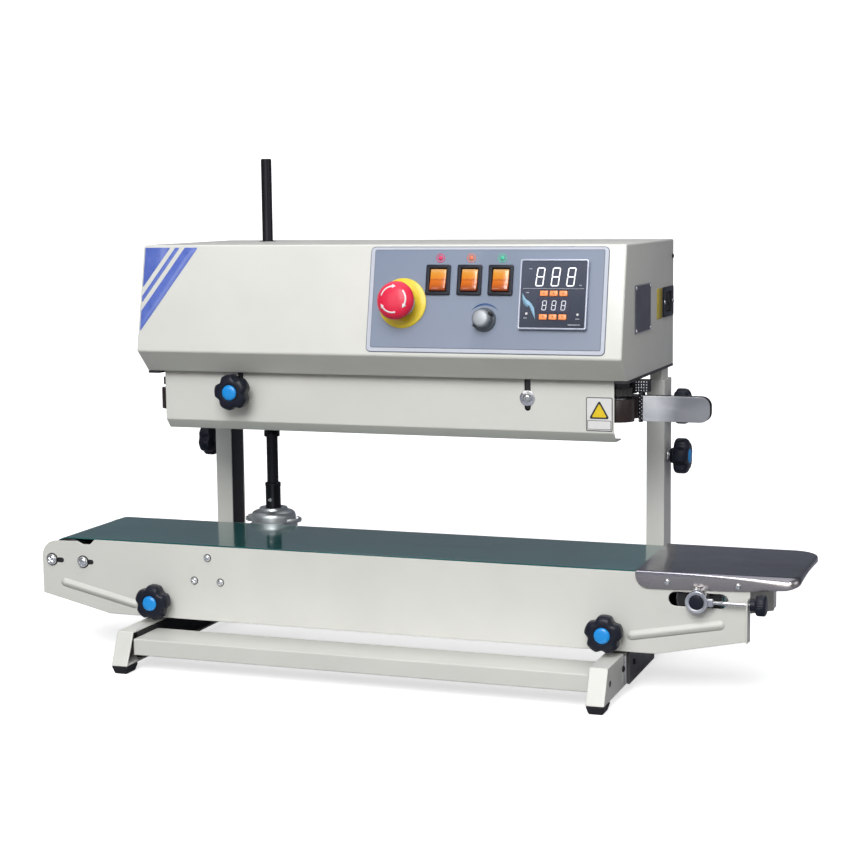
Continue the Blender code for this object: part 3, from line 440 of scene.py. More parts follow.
def block(name, lo, hi, mat, body, bevel=0.5, seg=3, rot=IDENT, matrix=None, taper=0.0):
    size = [b - a for a, b in zip(lo, hi)]
    c = [(a + b) / 2 for a, b in zip(lo, hi)]
    mtx = (matrix or IDENT) @ at(*c, rot)
    return put(name, block_mesh(name, size, bevel, seg, taper), mat, mtx, body, 40)


def rounded(points, radii, n=5):
    """Polygon with its corners rounded; radii is one number or one per corner."""
    if isinstance(radii, (int, float)):
        radii = [radii] * len(points)
    out = []
    count = len(points)
    for i in range(count):
        p0, p1, p2 = Vector(points[i - 1]), Vector(points[i]), Vector(points[(i + 1) % count])
        r = radii[i]
        a, b = (p0 - p1), (p2 - p1)
        if r <= 0:
            out.append(tuple(p1))
            continue
        ang = a.angle(b)
        if abs(math.pi - ang) < 1e-3:
            out.append(tuple(p1))
            continue
        d = min(r / math.tan(ang / 2), a.length * 0.49, b.length * 0.49)
        rr = d * math.tan(ang / 2)
        t1, t2 = p1 + a.normalized() * d, p1 + b.normalized() * d
        c = p1 + (a.normalized() + b.normalized()).normalized() * (rr / math.sin(ang / 2))
        v1, v2 = t1 - c, t2 - c
        total = v1.angle(v2)
        sign = 1 if v1.x * v2.y - v1.y * v2.x > 0 else -1
        for k in range(n + 1):
            t = sign * total * k / n
            out.append((c.x + v1.x * math.cos(t) - v1.y * math.sin(t),
                        c.y + v1.x * math.sin(t) + v1.y * math.cos(t)))
    return out


def rect(cx, cy, w, h, r=0.0, n=5):
    pts = [(cx - w / 2, cy - h / 2), (cx + w / 2, cy - h / 2), (cx + w / 2, cy + h / 2),
           (cx - w / 2, cy + h / 2)]
    return rounded(pts, r, n) if r else pts


def circle(cx, cy, r, n=40):
    return [(cx + r * math.cos(2 * math.pi * i / n), cy + r * math.sin(2 * math.pi * i / n))
            for i in range(n)]


def slot(x0, x1, yc, r, n=10, vertical=False):
    pts = [(x1 - r + r * math.cos(-math.pi / 2 + math.pi * i / n),
            yc + r * math.sin(-math.pi / 2 + math.pi * i / n)) for i in range(n + 1)]
    pts += [(x0 + r + r * math.cos(math.pi / 2 + math.pi * i / n),
             yc + r * math.sin(math.pi / 2 + math.pi * i / n)) for i in range(n + 1)]
    return [(y, x) for x, y in reversed(pts)] if vertical else pts


def arc_pts(cx, cy, r, a0, a1, n=12):
    return [(cx + r * math.cos(rad(a0 + (a1 - a0) * i / n)),
             cy + r * math.sin(rad(a0 + (a1 - a0) * i / n))) for i in range(n + 1)]


def belt_path(circles, offset, n=48):
    normals = []
    count = len(circles)
    for i in range(count):
        (xi, yi, ri), (xj, yj, rj) = circles[i], circles[(i + 1) % count]
        length = math.hypot(xj - xi, yj - yi)
        normals.append(math.atan2(yj - yi, xj - xi) - math.acos((ri - rj) / length))
    pts = []
    for i in range(count):
        x, y, r = circles[i]
        a0, a1 = normals[i - 1], normals[i]
        while a1 < a0:
            a1 += 2 * math.pi
        steps = max(2, round(n * (a1 - a0) / math.pi))
        for k in range(steps + 1):
            a = a0 + (a1 - a0) * k / steps
            pts.append((x + (r + offset) * math.cos(a), y + (r + offset) * math.sin(a)))
    return pts


def apply_boolean(ob, tools, op='DIFFERENCE'):
    """Cuts ob with temporary tool objects and keeps the result in its own mesh."""
    for t in tools:
        mod = ob.modifiers.new("cut", 'BOOLEAN')
        mod.operation = op
        mod.solver = 'EXACT'
        mod.object = t
    bpy.context.view_layer.update()
    me = bpy.data.meshes.new_from_object(ob.evaluated_get(bpy.context.evaluated_depsgraph_get()))
    ob.modifiers.clear()
    old = ob.data
    ob.data = me
    bpy.data.meshes.remove(old)
    for t in tools:
        bpy.data.objects.remove(t, do_unlink=True)
    ob.data.shade_smooth()
    ob.data.set_sharp_from_angle(angle=rad(35))
    return ob


def tool(mesh, matrix, local=False):
    ob = bpy.data.objects.new("tool", mesh)
    scene.collection.objects.link(ob)
    ob.matrix_world = matrix if local else TO_WORLD @ matrix
    return ob


def dress(node, mat, bevel=0.0, seg=3, angle=30):
    """A carried-over CAD node: procedural material, and rounded edges by modifiers."""
    ob = NODES[node]
    ob.data.materials.clear()
    ob.data.materials.append(mat)
    if bevel:
        w = ob.modifiers.new("weld", 'WELD')
        w.merge_threshold = 0.00001
        d = ob.modifiers.new("planar", 'DECIMATE')
        d.decimate_type = 'DISSOLVE'
        d.angle_limit = rad(1.0)
        b = ob.modifiers.new("edges", 'BEVEL')
        b.width = bevel * MM
        b.segments = seg
        b.limit_method = 'ANGLE'
        b.angle_limit = rad(angle)
        b.harden_normals = False
        b.use_clamp_overlap = True
    return ob


# =============================================================== CAD reference sizes (mm)
def mm_box(node):
    """A CAD node's box in mm, measured from the middle of the belt."""
    lo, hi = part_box(node)
    return [c * 1000 for c in lo - MID], [c * 1000 for c in hi - MID]


cover_lo, cover_hi = mm_box("head_cover")
plate_lo, plate_hi = mm_box("conveyor_plate_front")
guard_lo, guard_hi = mm_box("front_guard")
HEAD_X = cover_hi[0]
HEAD_TOP = cover_hi[2]
HEAD_BACK = cover_hi[1]
HEAD_LIP_Z = cover_lo[2]
HEAD_FRONT_LOW = (cover_lo[1], 344.8)
HEAD_FRONT_TOP = (-53.5, HEAD_TOP)
HEAD_LIP_Y = -52.3
slope = math.atan2(HEAD_FRONT_TOP[1] - HEAD_FRONT_LOW[1], HEAD_FRONT_TOP[0] - HEAD_FRONT_LOW[0])
PANEL = Matrix.Translation((0, HEAD_FRONT_TOP[0] * MM, HEAD_TOP * MM)) @ \
    Matrix.Rotation(slope, 4, 'X')


def on_panel(x, y, w=0.0, rot=IDENT):
    return PANEL @ at(x, y, w, rot)


ESTOP = (36.3, -62.1)
ROCKERS = (74.6, 108.8, 142.5)
ROCKER_Y = -37.5
SPEED = (127.0, -78.5)
CTRL = (199.9, -52.3)

# =============================================================== fasteners
SCREW_CACHE = {}


def screw_mesh(kind, r, h):
    key = (kind, r, h)
    if key in SCREW_CACHE:
        return SCREW_CACHE[key]
    if kind == "pan":
        prof = [(0, h), (r * 0.35, h * 0.98), (r * 0.65, h * 0.86), (r * 0.88, h * 0.6),
                (r, h * 0.22), (r, 0), (0, 0)]
        me = lathe_mesh("screw_pan", prof, 28)
        base = bpy.data.objects.new("screw_tmp", me)
        scene.collection.objects.link(base)
        tools = []
        for a in (0, 90):
            tools.append(tool(block_mesh("t", (r * 1.15, r * 0.24, h * 0.9), 0),
                              at(0, 0, h * 0.95) @ Matrix.Rotation(rad(a + 20), 4, 'Z'), local=True))
        apply_boolean(base, tools)
        me = base.data
        bpy.data.objects.remove(base, do_unlink=True)
    elif kind == "hex":
        pts = [(r * math.cos(rad(60 * i)), r * math.sin(rad(60 * i))) for i in range(6)]
        me = outline_mesh("screw_hex", [pts], h, min(0.25, h * 0.2), 1)
        me.transform(Matrix.Translation((0, 0, h / 2 * MM)))
    elif kind == "socket":
        hexa = [(r * 0.5 * math.cos(rad(60 * i)), r * 0.5 * math.sin(rad(60 * i)))
                for i in range(6)]
        me = outline_mesh("screw_socket", [circle(0, 0, r, 28), hexa[::-1]], h, 0.2, 1)
        me.transform(Matrix.Translation((0, 0, h / 2 * MM)))
        bm = bmesh.new()
        bm.from_mesh(me)
        bmesh.ops.create_cone(bm, cap_ends=True, segments=24, radius1=r * 0.7 * MM,
                              radius2=r * 0.7 * MM, depth=h * 0.3 * MM,
                              matrix=Matrix.Translation((0, 0, h * 0.15 * MM)))
        me2 = bm_mesh("screw_socket2", bm)
        me = me2
    else:                                   # washer
        me = outline_mesh("washer", [circle(0, 0, r, 36), circle(0, 0, r * 0.4, 20)], h, h * 0.3, 1)
        me.transform(Matrix.Translation((0, 0, h / 2 * MM)))
    me.materials.clear()
    me.materials.append(ZINC)
    me.shade_smooth()
    me.set_sharp_from_angle(angle=rad(32))
    SCREW_CACHE[key] = me
    return me


def screw(name, kind, r, h, matrix, body, spin=0.0, mat=None):
    me = screw_mesh(kind, r, h)
    if mat is not None:
        me = me.copy()
        me.materials.clear()
        me.materials.append(mat)
    ob = bpy.data.objects.new(name, me)
    scene.collection.objects.link(ob)
    ob.matrix_world = TO_WORLD @ matrix @ Matrix.Rotation(rad(spin), 4, 'Z')
    bpy.context.view_layer.update()
    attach(ob, body)
    return ob


# =============================================================== head cover
def make_cover():
    """Bent sheet cover: rounded bends, welded ends, open below."""
    pts = [(HEAD_LIP_Y, HEAD_LIP_Z), (HEAD_BACK, HEAD_LIP_Z), (HEAD_BACK, HEAD_TOP),
           HEAD_FRONT_TOP, HEAD_FRONT_LOW]
    bm = bmesh.new()
    rings = []
    for x in (-HEAD_X, HEAD_X):
        rings.append([bm.verts.new((x * MM, y * MM, z * MM)) for y, z in pts])
    n = len(pts)
    for i in range(n):
        j = (i + 1) % n
        bm.faces.new((rings[0][i], rings[1][i], rings[1][j], rings[0][j]))
    bm.faces.new(rings[0])
    bm.faces.new(rings[1])
    bmesh.ops.recalc_face_normals(bm, faces=bm.faces)
    bm.normal_update()
    low = [f for f in bm.faces if f.normal.z < -0.99]
    keep = set(e for f in low for e in f.edges)
    edges = [e for e in bm.edges if e not in keep]
    bmesh.ops.delete(bm, geom=low, context='FACES_ONLY')
    bmesh.ops.bevel(bm, geom=edges, offset=2.0 * MM, segments=5, profile=0.5, affect='EDGES',
                    clamp_overlap=True)
    me = bpy.data.meshes.new("head_cover_shell")
    bmesh.ops.recalc_face_normals(bm, faces=bm.faces)
    bm.to_mesh(me)
    bm.free()
    ob = put("head_cover_shell", me, BEIGE, IDENT, None, 30)
    sol = ob.modifiers.new("sheet", 'SOLIDIFY')
    sol.thickness = 1.2 * MM
    sol.offset = -1.0
    sol.use_even_offset = True
    cutters = [
        tool(lathe_mesh("t", [(0, 12), (9.0, 12), (9.0, -12), (0, -12)], 48),
             at(-193.0, 100.0, HEAD_TOP)),
        tool(lathe_mesh("t", [(0, 12), (11.0, 12), (11.0, -12), (0, -12)], 48), on_panel(*ESTOP)),
        tool(lathe_mesh("t", [(0, 12), (5.0, 12), (5.0, -12), (0, -12)], 32), on_panel(*SPEED)),
        tool(block_mesh("t", (67.4, 67.4, 20), 0), on_panel(*CTRL)),
        tool(block_mesh("t", (36, 24, 14), 0), at(HEAD_X, 134, 392, ROT_YZ)),
    ]
    for x in ROCKERS:
        cutters.append(tool(block_mesh("t", (23.0, 27.6, 20), 0), on_panel(x, ROCKER_Y)))
    apply_boolean(ob, cutters)
    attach(ob, "head")
    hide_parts("head_cover")
    return ob


make_cover()

# rubber grommet where the drive shaft leaves the cover
lathe("shaft_grommet", [(9.6, 0.0), (9.5, 0.3), (9.0, 0.5), (8.0, 0.5), (7.6, 0.2), (7.6, -2.5),
                        (8.8, -2.5), (8.8, 0.0)], RUBBER, at(-193.0, 100.0, HEAD_TOP), "head", 48,
      closed=True)

# chassis plate below the cover
dress("head_base_plate", BLACK_PAINT, 0.5, 2)

# =============================================================== corner decal (generic stripes)
def decal_material():
    m, nt, b = new_mat("mat_blue_decal")
    v = coords(nt)
    sep = nt.nodes.new("ShaderNodeSeparateXYZ")
    nt.links.new(v, sep.inputs[0])
    d = math_node(nt, 'ADD', math_node(nt, 'MULTIPLY', sep.outputs[0], 0.86),
                  math_node(nt, 'MULTIPLY', sep.outputs[1], -0.62))
    n = noise(nt, v, 90.0, 3.0)
    col = ramp(nt, n, [(0.3, (0.085, 0.145, 0.52)), (0.7, (0.115, 0.18, 0.58))])
    nt.links.new(col, b.inputs["Base Color"])
    nt.links.new(maprange(nt, n, 0.24, 0.34), b.inputs["Roughness"])
    b.inputs["Coat Weight"].default_value = 0.4
    bump(nt, b, noise(nt, v, 1800.0, 2.0), 0.08, 0.00003)
    return m


DECAL = decal_material()


def clip_below(pts, a, b):
    """Keeps the part of a convex polygon on the left of the line a -> b."""
    out = []
    ax, ay = a
    dx, dy = b[0] - a[0], b[1] - a[1]
    side = [(dx * (y - ay) - dy * (x - ax)) for x, y in pts]
    for i in range(len(pts)):
        j = (i + 1) % len(pts)
        if side[i] >= 0:
            out.append(pts[i])
        if side[i] * side[j] < 0:
            t = side[i] / (side[i] - side[j])
            out.append((pts[i][0] + t * (pts[j][0] - pts[i][0]),
                        pts[i][1] + t * (pts[j][1] - pts[i][1])))
    return out


tri = [(-HEAD_X + 2.6, -3.0), (-HEAD_X + 2.6, -96.0), (-206.0, -3.0)]
slash = Vector((HEAD_X - 2.6 - 206.0, 93.0)).normalized()
across = Vector((-slash.y, slash.x))


def band_of(poly, d0, d1):
    """The strip of a polygon whose distance across the stripes is between d0 and d1."""
    o = Vector((-206.0, -3.0))
    a = o + across * d0
    b = o + across * d1
    p = clip_below(poly, tuple(a), tuple(a + slash))
    p = clip_below(p, tuple(b + slash), tuple(b))
    return p


for i, (d0, d1) in enumerate(((0.0, 13.0), (18.0, 22.5), (27.5, 60.0))):
    piece = band_of(tri, d0, d1)
    if len(piece) > 2:
        plate("decal_stripe_%d" % (i + 1), [rounded(piece, 0.6, 3)], 0.16, DECAL,
              on_panel(0, 0, 0.12), "head", 0.04, 1)

# =============================================================== control panel label
def label_material():
    """Satin printed film: blue-grey field, with a painted sheen that makes it slightly lighter towards its lower
    right.
    """
    m, nt, b = new_mat("mat_panel_film")
    v = coords(nt)
    sep = nt.nodes.new("ShaderNodeSeparateXYZ")
    nt.links.new(v, sep.inputs[0])
    # painted sheen: lighter to the right and towards the bottom
    g = math_node(nt, 'ADD', maprange(nt, sep.outputs[0], 0.0, 0.6, -0.13, 0.13),
                  maprange(nt, sep.outputs[1], 0.4, 0.0, -0.055, 0.055))
    n = noise(nt, v, 40.0, 4.0)
    g = math_node(nt, 'ADD', g, maprange(nt, n, -0.06, 0.06))
    col = ramp(nt, g, [(0.0, (0.170, 0.222, 0.325)), (1.0, (0.258, 0.298, 0.385))])
    nt.links.new(col, b.inputs["Base Color"])
    nt.links.new(maprange(nt, n, 0.30, 0.42), b.inputs["Roughness"])
    b.inputs["Coat Weight"].default_value = 0.25
    bump(nt, b, noise(nt, v, 2600.0, 2.0), 0.18, 0.00003)
    return m


FILM = label_material()
FILM_EDGE = plastic("mat_film_border", (0.55, 0.58, 0.67), 0.3, strength=0.06, var=0.03)
FILM_RIM = plastic("mat_film_outline", (0.14, 0.16, 0.205), 0.42, strength=0.06, var=0.05)
LX0, LX1, LY0, LY1 = -1.5, 254.5, -112.8, -3.2
lcx, lcy = (LX0 + LX1) / 2, (LY0 + LY1) / 2
estop_hole = circle(ESTOP[0] - lcx, ESTOP[1] - lcy, 11.4)
rocker_holes = [rect(x - lcx, ROCKER_Y - lcy, 23.4, 28.0) for x in ROCKERS]
ctrl_hole = rect(CTRL[0] - lcx, CTRL[1] - lcy, 67.8, 67.8)
speed_hole = circle(SPEED[0] - lcx, SPEED[1] - lcy, 5.2, 24)
holes = [estop_hole, ctrl_hole, speed_hole] + rocker_holes
# dark backing a little larger than the label: painted shadow along the label's edge
plate("panel_backing", [rect(0, 0, LX1 - LX0 + 1.6, LY1 - LY0 + 1.6, 5.2, 8)] + holes, 0.4, FILM_RIM,
      on_panel(lcx, lcy, 0.3), "head", 0.1, 1, smooth=12)
plate("panel_border", [rect(0, 0, LX1 - LX0, LY1 - LY0, 4.5, 8)] + holes, 0.6, FILM_EDGE,
      on_panel(lcx, lcy, 0.65), "head", 0.2, 2, smooth=12)
plate("panel_inner_line", [rect(0.2, 0.8, LX1 - LX0 - 7.8, LY1 - LY0 - 6.4, 1.9, 5)] + holes, 0.2,
      FILM_RIM, on_panel(lcx, lcy, 1.0), "head", 0.05, 1, smooth=12)
plate("panel_film", [rect(0.2, 0.8, LX1 - LX0 - 9.0, LY1 - LY0 - 7.6, 1.5, 5)] + holes, 0.24, FILM,
      on_panel(lcx, lcy, 1.15), "head", 0.08, 1, smooth=12)

# pictogram dots above the switches, and the dial's swept arc
for i, (x, c) in enumerate(zip((75.8, 109.4, 142.9), ((0.78, 0.05, 0.17), (0.88, 0.24, 0.13),
                                                     (0.09, 0.58, 0.38)))):
    m = plastic("mat_dot_%d" % (i + 1), c, 0.35, strength=0.05, var=0.05)
    ring = [circle(0, 0, 4.8, 36), circle(0, 0, 3.8, 36)]
    plate("switch_mark_ring_%d" % (i + 1), ring, 0.14, m, on_panel(x, -14.6, 1.36), "head", 0.03, 1)
    plate("switch_mark_dot_%d" % (i + 1), [circle(0, 0, 2.7, 30)], 0.14, m,
          on_panel(x, -14.6, 1.36), "head", 0.03, 1)
INK = plastic("mat_blue_ink", (0.035, 0.10, 0.26), 0.4, strength=0.05, var=0.08)
sweep = []
for i in range(25):
    a = rad(35 + 110 * i / 24)
    sweep.append((17.2 * math.cos(a), 17.2 * math.sin(a)))
for i in range(25):
    a = rad(145 - 110 * i / 24)
    wd = 1.9 * math.sin(math.pi * i / 24) + 0.25
    sweep.append(((17.2 - wd) * math.cos(a), (17.2 - wd) * math.sin(a)))
plate("dial_sweep", [sweep], 0.14, INK, on_panel(SPEED[0], SPEED[1], 1.36), "head", 0.02, 1)

# =============================================================== emergency stop
lathe("estop_disc", [(11.4, 1.3), (11.4, 2.5), (14.0, 2.8), (24.6, 2.5), (26.0, 2.0), (26.4, 1.3)],
      YELLOW, on_panel(*ESTOP), "head", 96, closed=True)
lathe("estop_collar", [(11.0, 3.3), (11.0, 13.0), (12.6, 13.0), (13.2, 12.4), (13.4, 5.2),
                       (14.6, 4.4), (14.6, 3.5)], SILVER, on_panel(*ESTOP), "head", 64, closed=True)
stem = lathe("estop_stem_turned", [(0, 14.0), (5.6, 14.0), (6.0, 13.6), (6.0, -33.6), (5.6, -34.0),
                                   (0, -34.0)], BLACK, on_panel(*ESTOP), "estop_plunger", 40)
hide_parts("estop_stem")
mush = lathe("estop_mushroom", [(0, 31.6), (5, 31.5), (10.0, 31.0), (14.0, 29.9), (17.0, 28.1),
                                (19.0, 25.8), (20.0, 23.2), (20.1, 21.4), (19.5, 20.0),
                                (18.2, 19.0), (12.0, 18.5), (10.6, 17.6), (10.0, 14.8),
                                (9.4, 14.4), (0, 14.4)], RED, on_panel(*ESTOP), "estop_head", 96)
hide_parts("estop_button")


def cap_height(r):
    """Height of the mushroom's crown at radius r."""
    prof = [(0, 31.6), (5, 31.5), (10.0, 31.0), (14.0, 29.9), (17.0, 28.1), (19.0, 25.8)]
    for (r0, z0), (r1, z1) in zip(prof, prof[1:]):
        if r0 <= r <= r1:
            return z0 + (z1 - z0) * (r - r0) / (r1 - r0)
    return 25.8


def crown_arrow(name, a0, a1, r_mid, w):
    """Curved arrow that follows the crown, a hair proud of it."""
    bm = bmesh.new()
    n = 26
    rows = []
    for i in range(n + 1):
        t = i / n
        a = rad(a0 + (a1 - a0) * t)
        if t < 0.78:
            half = w / 2
        else:
            half = w * 1.5 * (1 - (t - 0.78) / 0.22) + 0.05
        row = []
        for k in range(5):
            r = r_mid - half + 2 * half * k / 4
            z = cap_height(r) + 0.10
            row.append(bm.verts.new((r * MM * math.cos(a), r * MM * math.sin(a), z * MM)))
        rows.append(row)
    for ra, rb in zip(rows, rows[1:]):
        for k in range(4):
            bm.faces.new((ra[k], ra[k + 1], rb[k + 1], rb[k]))
    bmesh.ops.recalc_face_normals(bm, faces=bm.faces)
    me = bpy.data.meshes.new(name)
    bm.to_mesh(me)
    bm.free()
    ob = put(name, me, WHITE_INK, on_panel(*ESTOP), "estop_head", 60)
    s = ob.modifiers.new("ink", 'SOLIDIFY')
    s.thickness = 0.25 * MM
    s.offset = -1.0
    return ob


for i, a in enumerate((80, 320, 200)):
    crown_arrow("estop_arrow_%d" % (i + 1), a + 84, a, 13.8, 1.7)

# =============================================================== rocker switches
AMBER, nt, b = new_mat("mat_lit_amber")
v = coords(nt)
sep = nt.nodes.new("ShaderNodeSeparateXYZ")
nt.links.new(v, sep.inputs[0])
# amber ramp along the paddle: painted shade at the lower end and in the valley, painted highlight at the upper
# end
grad = maprange(nt, sep.outputs[1], 0.0, 1.0, -0.0125, 0.0125)
col = ramp(nt, math_node(nt, 'ADD', grad, maprange(nt, noise(nt, v, 300.0, 3.0), -0.05, 0.05)),
           [(0.0, (0.24, 0.034, 0.001)), (0.22, (0.52, 0.10, 0.002)), (0.44, (0.70, 0.17, 0.003)),
            (0.50, (0.52, 0.10, 0.002)), (0.56, (0.76, 0.24, 0.006)), (0.78, (0.80, 0.33, 0.03)),
            (1.0, (0.84, 0.52, 0.22))])
nt.links.new(col, b.inputs["Base Color"])
nt.links.new(col, b.inputs["Emission Color"])
b.inputs["Emission Strength"].default_value = 0.12
b.inputs["Roughness"].default_value = 0.18
b.inputs["Transmission Weight"].default_value = 0.12
b.inputs["Coat Weight"].default_value = 0.7
bump(nt, b, noise(nt, v, 900.0, 2.0), 0.06, 0.00004)

for i, x in enumerate(ROCKERS):
    # snap-in housing: bezel with an inward-sloping rim
    body = outline_mesh("bezel", [rect(0, 0, 26.4, 31.6, 1.6, 5), rect(0, 0, 18.6, 24.6, 0.8, 4)],
                        2.6, 0.5, 3)
    put("switch_bezel_%d" % (i + 1), body, BLACK, on_panel(x, ROCKER_Y, 2.65), "head", 35)
    throat = outline_mesh("throat", [rect(0, 0, 22.8, 27.4, 0.6, 3), rect(0, 0, 18.5, 24.5, 0.5, 3)],
                          14.0, 0.0)
    put("switch_throat_%d" % (i + 1), throat, BLACK_MATT, on_panel(x, ROCKER_Y, -5.8), "head", 35)
    # paddle: two faces meeting in a soft valley, rounded ends
    prof = [(-11.6, 1.0), (-11.5, 4.2), (-10.6, 5.3), (-9.2, 5.6), (-5.0, 4.3), (-1.6, 3.5),
            (0.0, 3.35), (1.6, 3.2), (5.0, 2.9), (9.4, 2.35), (10.8, 2.0), (11.5, 1.2),
            (11.6, -1.5), (4.0, -6.0), (-4.0, -6.0)]
    me = outline_mesh("rocker", [prof], 17.2, 0.7, 3)
    rk = put("rocker_paddle_%d" % (i + 1), me, None, on_panel(x, ROCKER_Y, 0, ROT_YZ),
             "switch_%d" % (i + 1), 50)
    # the paddle's colour runs along the slope, which is its own local X: painted highlight at its upper end,
    # painted shade in the middle valley and at its lower end
    rk.data.materials.append(None)
    rk.data.materials[0] = None
    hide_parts("rocker_%d" % (i + 1))

AMBER_X = AMBER.copy()
AMBER_X.name = "mat_lit_amber_paddle"
for node in AMBER_X.node_tree.nodes:
    if node.type == 'SEPXYZ':
        s = node
for link in list(AMBER_X.node_tree.links):
    if link.from_node == s and link.from_socket == s.outputs[1]:
        to = link.to_socket
        AMBER_X.node_tree.links.remove(link)
        AMBER_X.node_tree.links.new(s.outputs[0], to)
for i in range(3):
    ob = bpy.data.objects["rocker_paddle_%d" % (i + 1)]
    ob.data.materials.clear()
    ob.data.materials.append(AMBER_X)

# =============================================================== speed dial
prof = [(0, 17.0), (6.6, 17.0), (7.6, 16.6), (8.4, 15.6), (8.7, 14.6)]
CAP_GREY = metal("mat_dial_cap", (0.40, 0.42, 0.45), 0.46, (300, 300, 300), 0.1, metallic=0.4)
lathe_cap = lathe("speed_dial_cap", prof + [(8.8, 13.4), (8.8, 6.0), (0, 6.0)], CAP_GREY,
                  on_panel(*SPEED), "speed_dial", 72)
# black knurled body with a pointer skirt
bm = bmesh.new()
levels = [(13.4, 8.6, 0.0), (13.2, 9.4, 0.0), (12.6, 9.8, 0.35), (6.2, 10.1, 0.35),
          (5.4, 10.3, 0.0), (4.6, 11.6, 0.0), (3.6, 12.2, 0.0), (1.6, 12.5, 0.0), (1.4, 12.2, 0.0),
          (1.4, 3.0, 0.0)]
N = 144
rings = []
for z, r, k in levels:
    ring = []
    for i in range(N):
        a = 2 * math.pi * i / N
        rr = r + k * math.cos(24 * a)
        ring.append(bm.verts.new((rr * MM * math.cos(a), rr * MM * math.sin(a), z * MM)))
    rings.append(ring)
for ra, rb in zip(rings, rings[1:] + [rings[0]]):
    for i in range(N):
        j = (i + 1) % N
        bm.faces.new((ra[i], rb[i], rb[j], ra[j]))
DIAL_GREY = metal("mat_dial_grey", (0.135, 0.15, 0.165), 0.42, (300, 300, 300), 0.1, metallic=0.4)
dial = put("speed_dial_body", bm_mesh("speed_dial_body", bm), DIAL_GREY, on_panel(*SPEED),
           "speed_dial", 35)
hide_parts("speed_knob")
for i, (a, w) in enumerate(((-60, 1.7), (135, 1.4))):
    block("speed_dial_pointer_%d" % (i + 1), (-w, 8.6, 3.9), (w, 11.6, 13.7), BLACK_MATT, "speed_dial",
          0.3, 2, matrix=PANEL @ at(SPEED[0], SPEED[1], 0) @ Matrix.Rotation(rad(a), 4, 'Z'))
lathe("speed_spindle", [(0, 5.8), (3, 5.8), (3, -11.6), (2.6, -12), (0, -12)], STEEL,
      on_panel(*SPEED), "speed_dial", 32)

# =============================================================== temperature controller
def face_material():
    m, nt, b = new_mat("mat_controller_face")
    v = coords(nt)
    sep = nt.nodes.new("ShaderNodeSeparateXYZ")
    nt.links.new(v, sep.inputs[0])
    # lighter towards the upper left: painted reflection on the glossy face
    g = math_node(nt, 'ADD', maprange(nt, sep.outputs[1], 0.0, 0.8, -0.033, 0.033),
                  maprange(nt, sep.outputs[0], 0.2, 0.0, -0.033, 0.033))
    g = math_node(nt, 'ADD', g, maprange(nt, noise(nt, v, 50.0, 4.0), -0.05, 0.05))
    col = ramp(nt, g, [(0.0, (0.028, 0.036, 0.060)), (1.0, (0.068, 0.080, 0.122))])
    nt.links.new(col, b.inputs["Base Color"])
    b.inputs["Roughness"].default_value = 0.16
    b.inputs["Coat Weight"].default_value = 0.5
    bump(nt, b, noise(nt, v, 1500.0, 2.0), 0.05, 0.00003)
    return m


FACE = face_material()
cx, cy = CTRL
KEYS = [(CTRL[0] + dx, y) for y in (-51.3, -75.4) for dx in (-9.6, 0.6, 10.8)]
BEZEL = metal("mat_bezel", (0.44, 0.47, 0.56), 0.34, (300, 300, 300), 0.08, metallic=0.45)
bezel = outline_mesh("ctrl_bezel", [rect(0, 0, 72, 72, 2.2, 5), rect(0, 0, 68.2, 68.2, 1.0, 4)],
                     5.6, 0.6, 3)
ctrl = put("controller_bezel", bezel, BEZEL, on_panel(cx, cy, 3.75), "head", 20)
key_holes = [rect(kx - cx, ky - cy, 9.2, 6.4, 0.9, 4) for kx, ky in KEYS]
face = put("controller_face", outline_mesh("ctrl_face", [rect(0, 0, 68.5, 68.5, 1.0, 4)] + key_holes,
                                           2.4, 0.12, 1), FACE, on_panel(cx, cy, 4.3), "head", 12)
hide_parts("temp_controller")
block("controller_case", (cx - 33.2, cy - 33.2, -62), (cx + 33.2, cy + 33.2, 3.0), BLACK_MATT,
      "head", 0.8, 3, matrix=PANEL)
# faint orange emission on the keys: painted glow
KEYMAT = plastic("mat_orange_key", (0.95, 0.31, 0.10), 0.34, strength=0.08, coat=0.2, var=0.05,
                 emission=((0.95, 0.26, 0.05), 0.15))
KEYDOT = plastic("mat_key_mark", (0.55, 0.16, 0.05), 0.4, strength=0.05)
for i, (kx, ky) in enumerate(KEYS):
    k = put("controller_key_%d" % (i + 1), block_mesh("key", (8.4, 5.6, 2.2), 0.7, 4), KEYMAT,
            on_panel(kx, ky, 5.3), "key_%d" % (i + 1), 40)
    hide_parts("temp_key_%d" % (i + 1))
    up = 1 if ky > -60 else -1
    plate("key_mark_%d" % (i + 1), [[(-1.3, -0.8 * up), (1.3, -0.8 * up), (0, 1.1 * up)]], 0.12,
          KEYDOT, on_panel(kx, ky, 6.44), "key_%d" % (i + 1))

DIGIT = plastic("mat_lit_digit", (0.92, 0.93, 0.95), 0.3, strength=0.02, var=0.01,
                emission=((0.90, 0.94, 1.0), 0.55))
DIGIT2 = plastic("mat_dim_digit", (0.75, 0.78, 0.82), 0.3, strength=0.02, var=0.01,
                 emission=((0.85, 0.90, 1.0), 0.30))
SEGS = {"8": "abcdefg", "0": "abcdef", "1": "bc", "2": "abged", "3": "abgcd", "4": "fgbc",
        "5": "afgcd", "6": "afgedc", "7": "abc", "9": "abcdfg"}


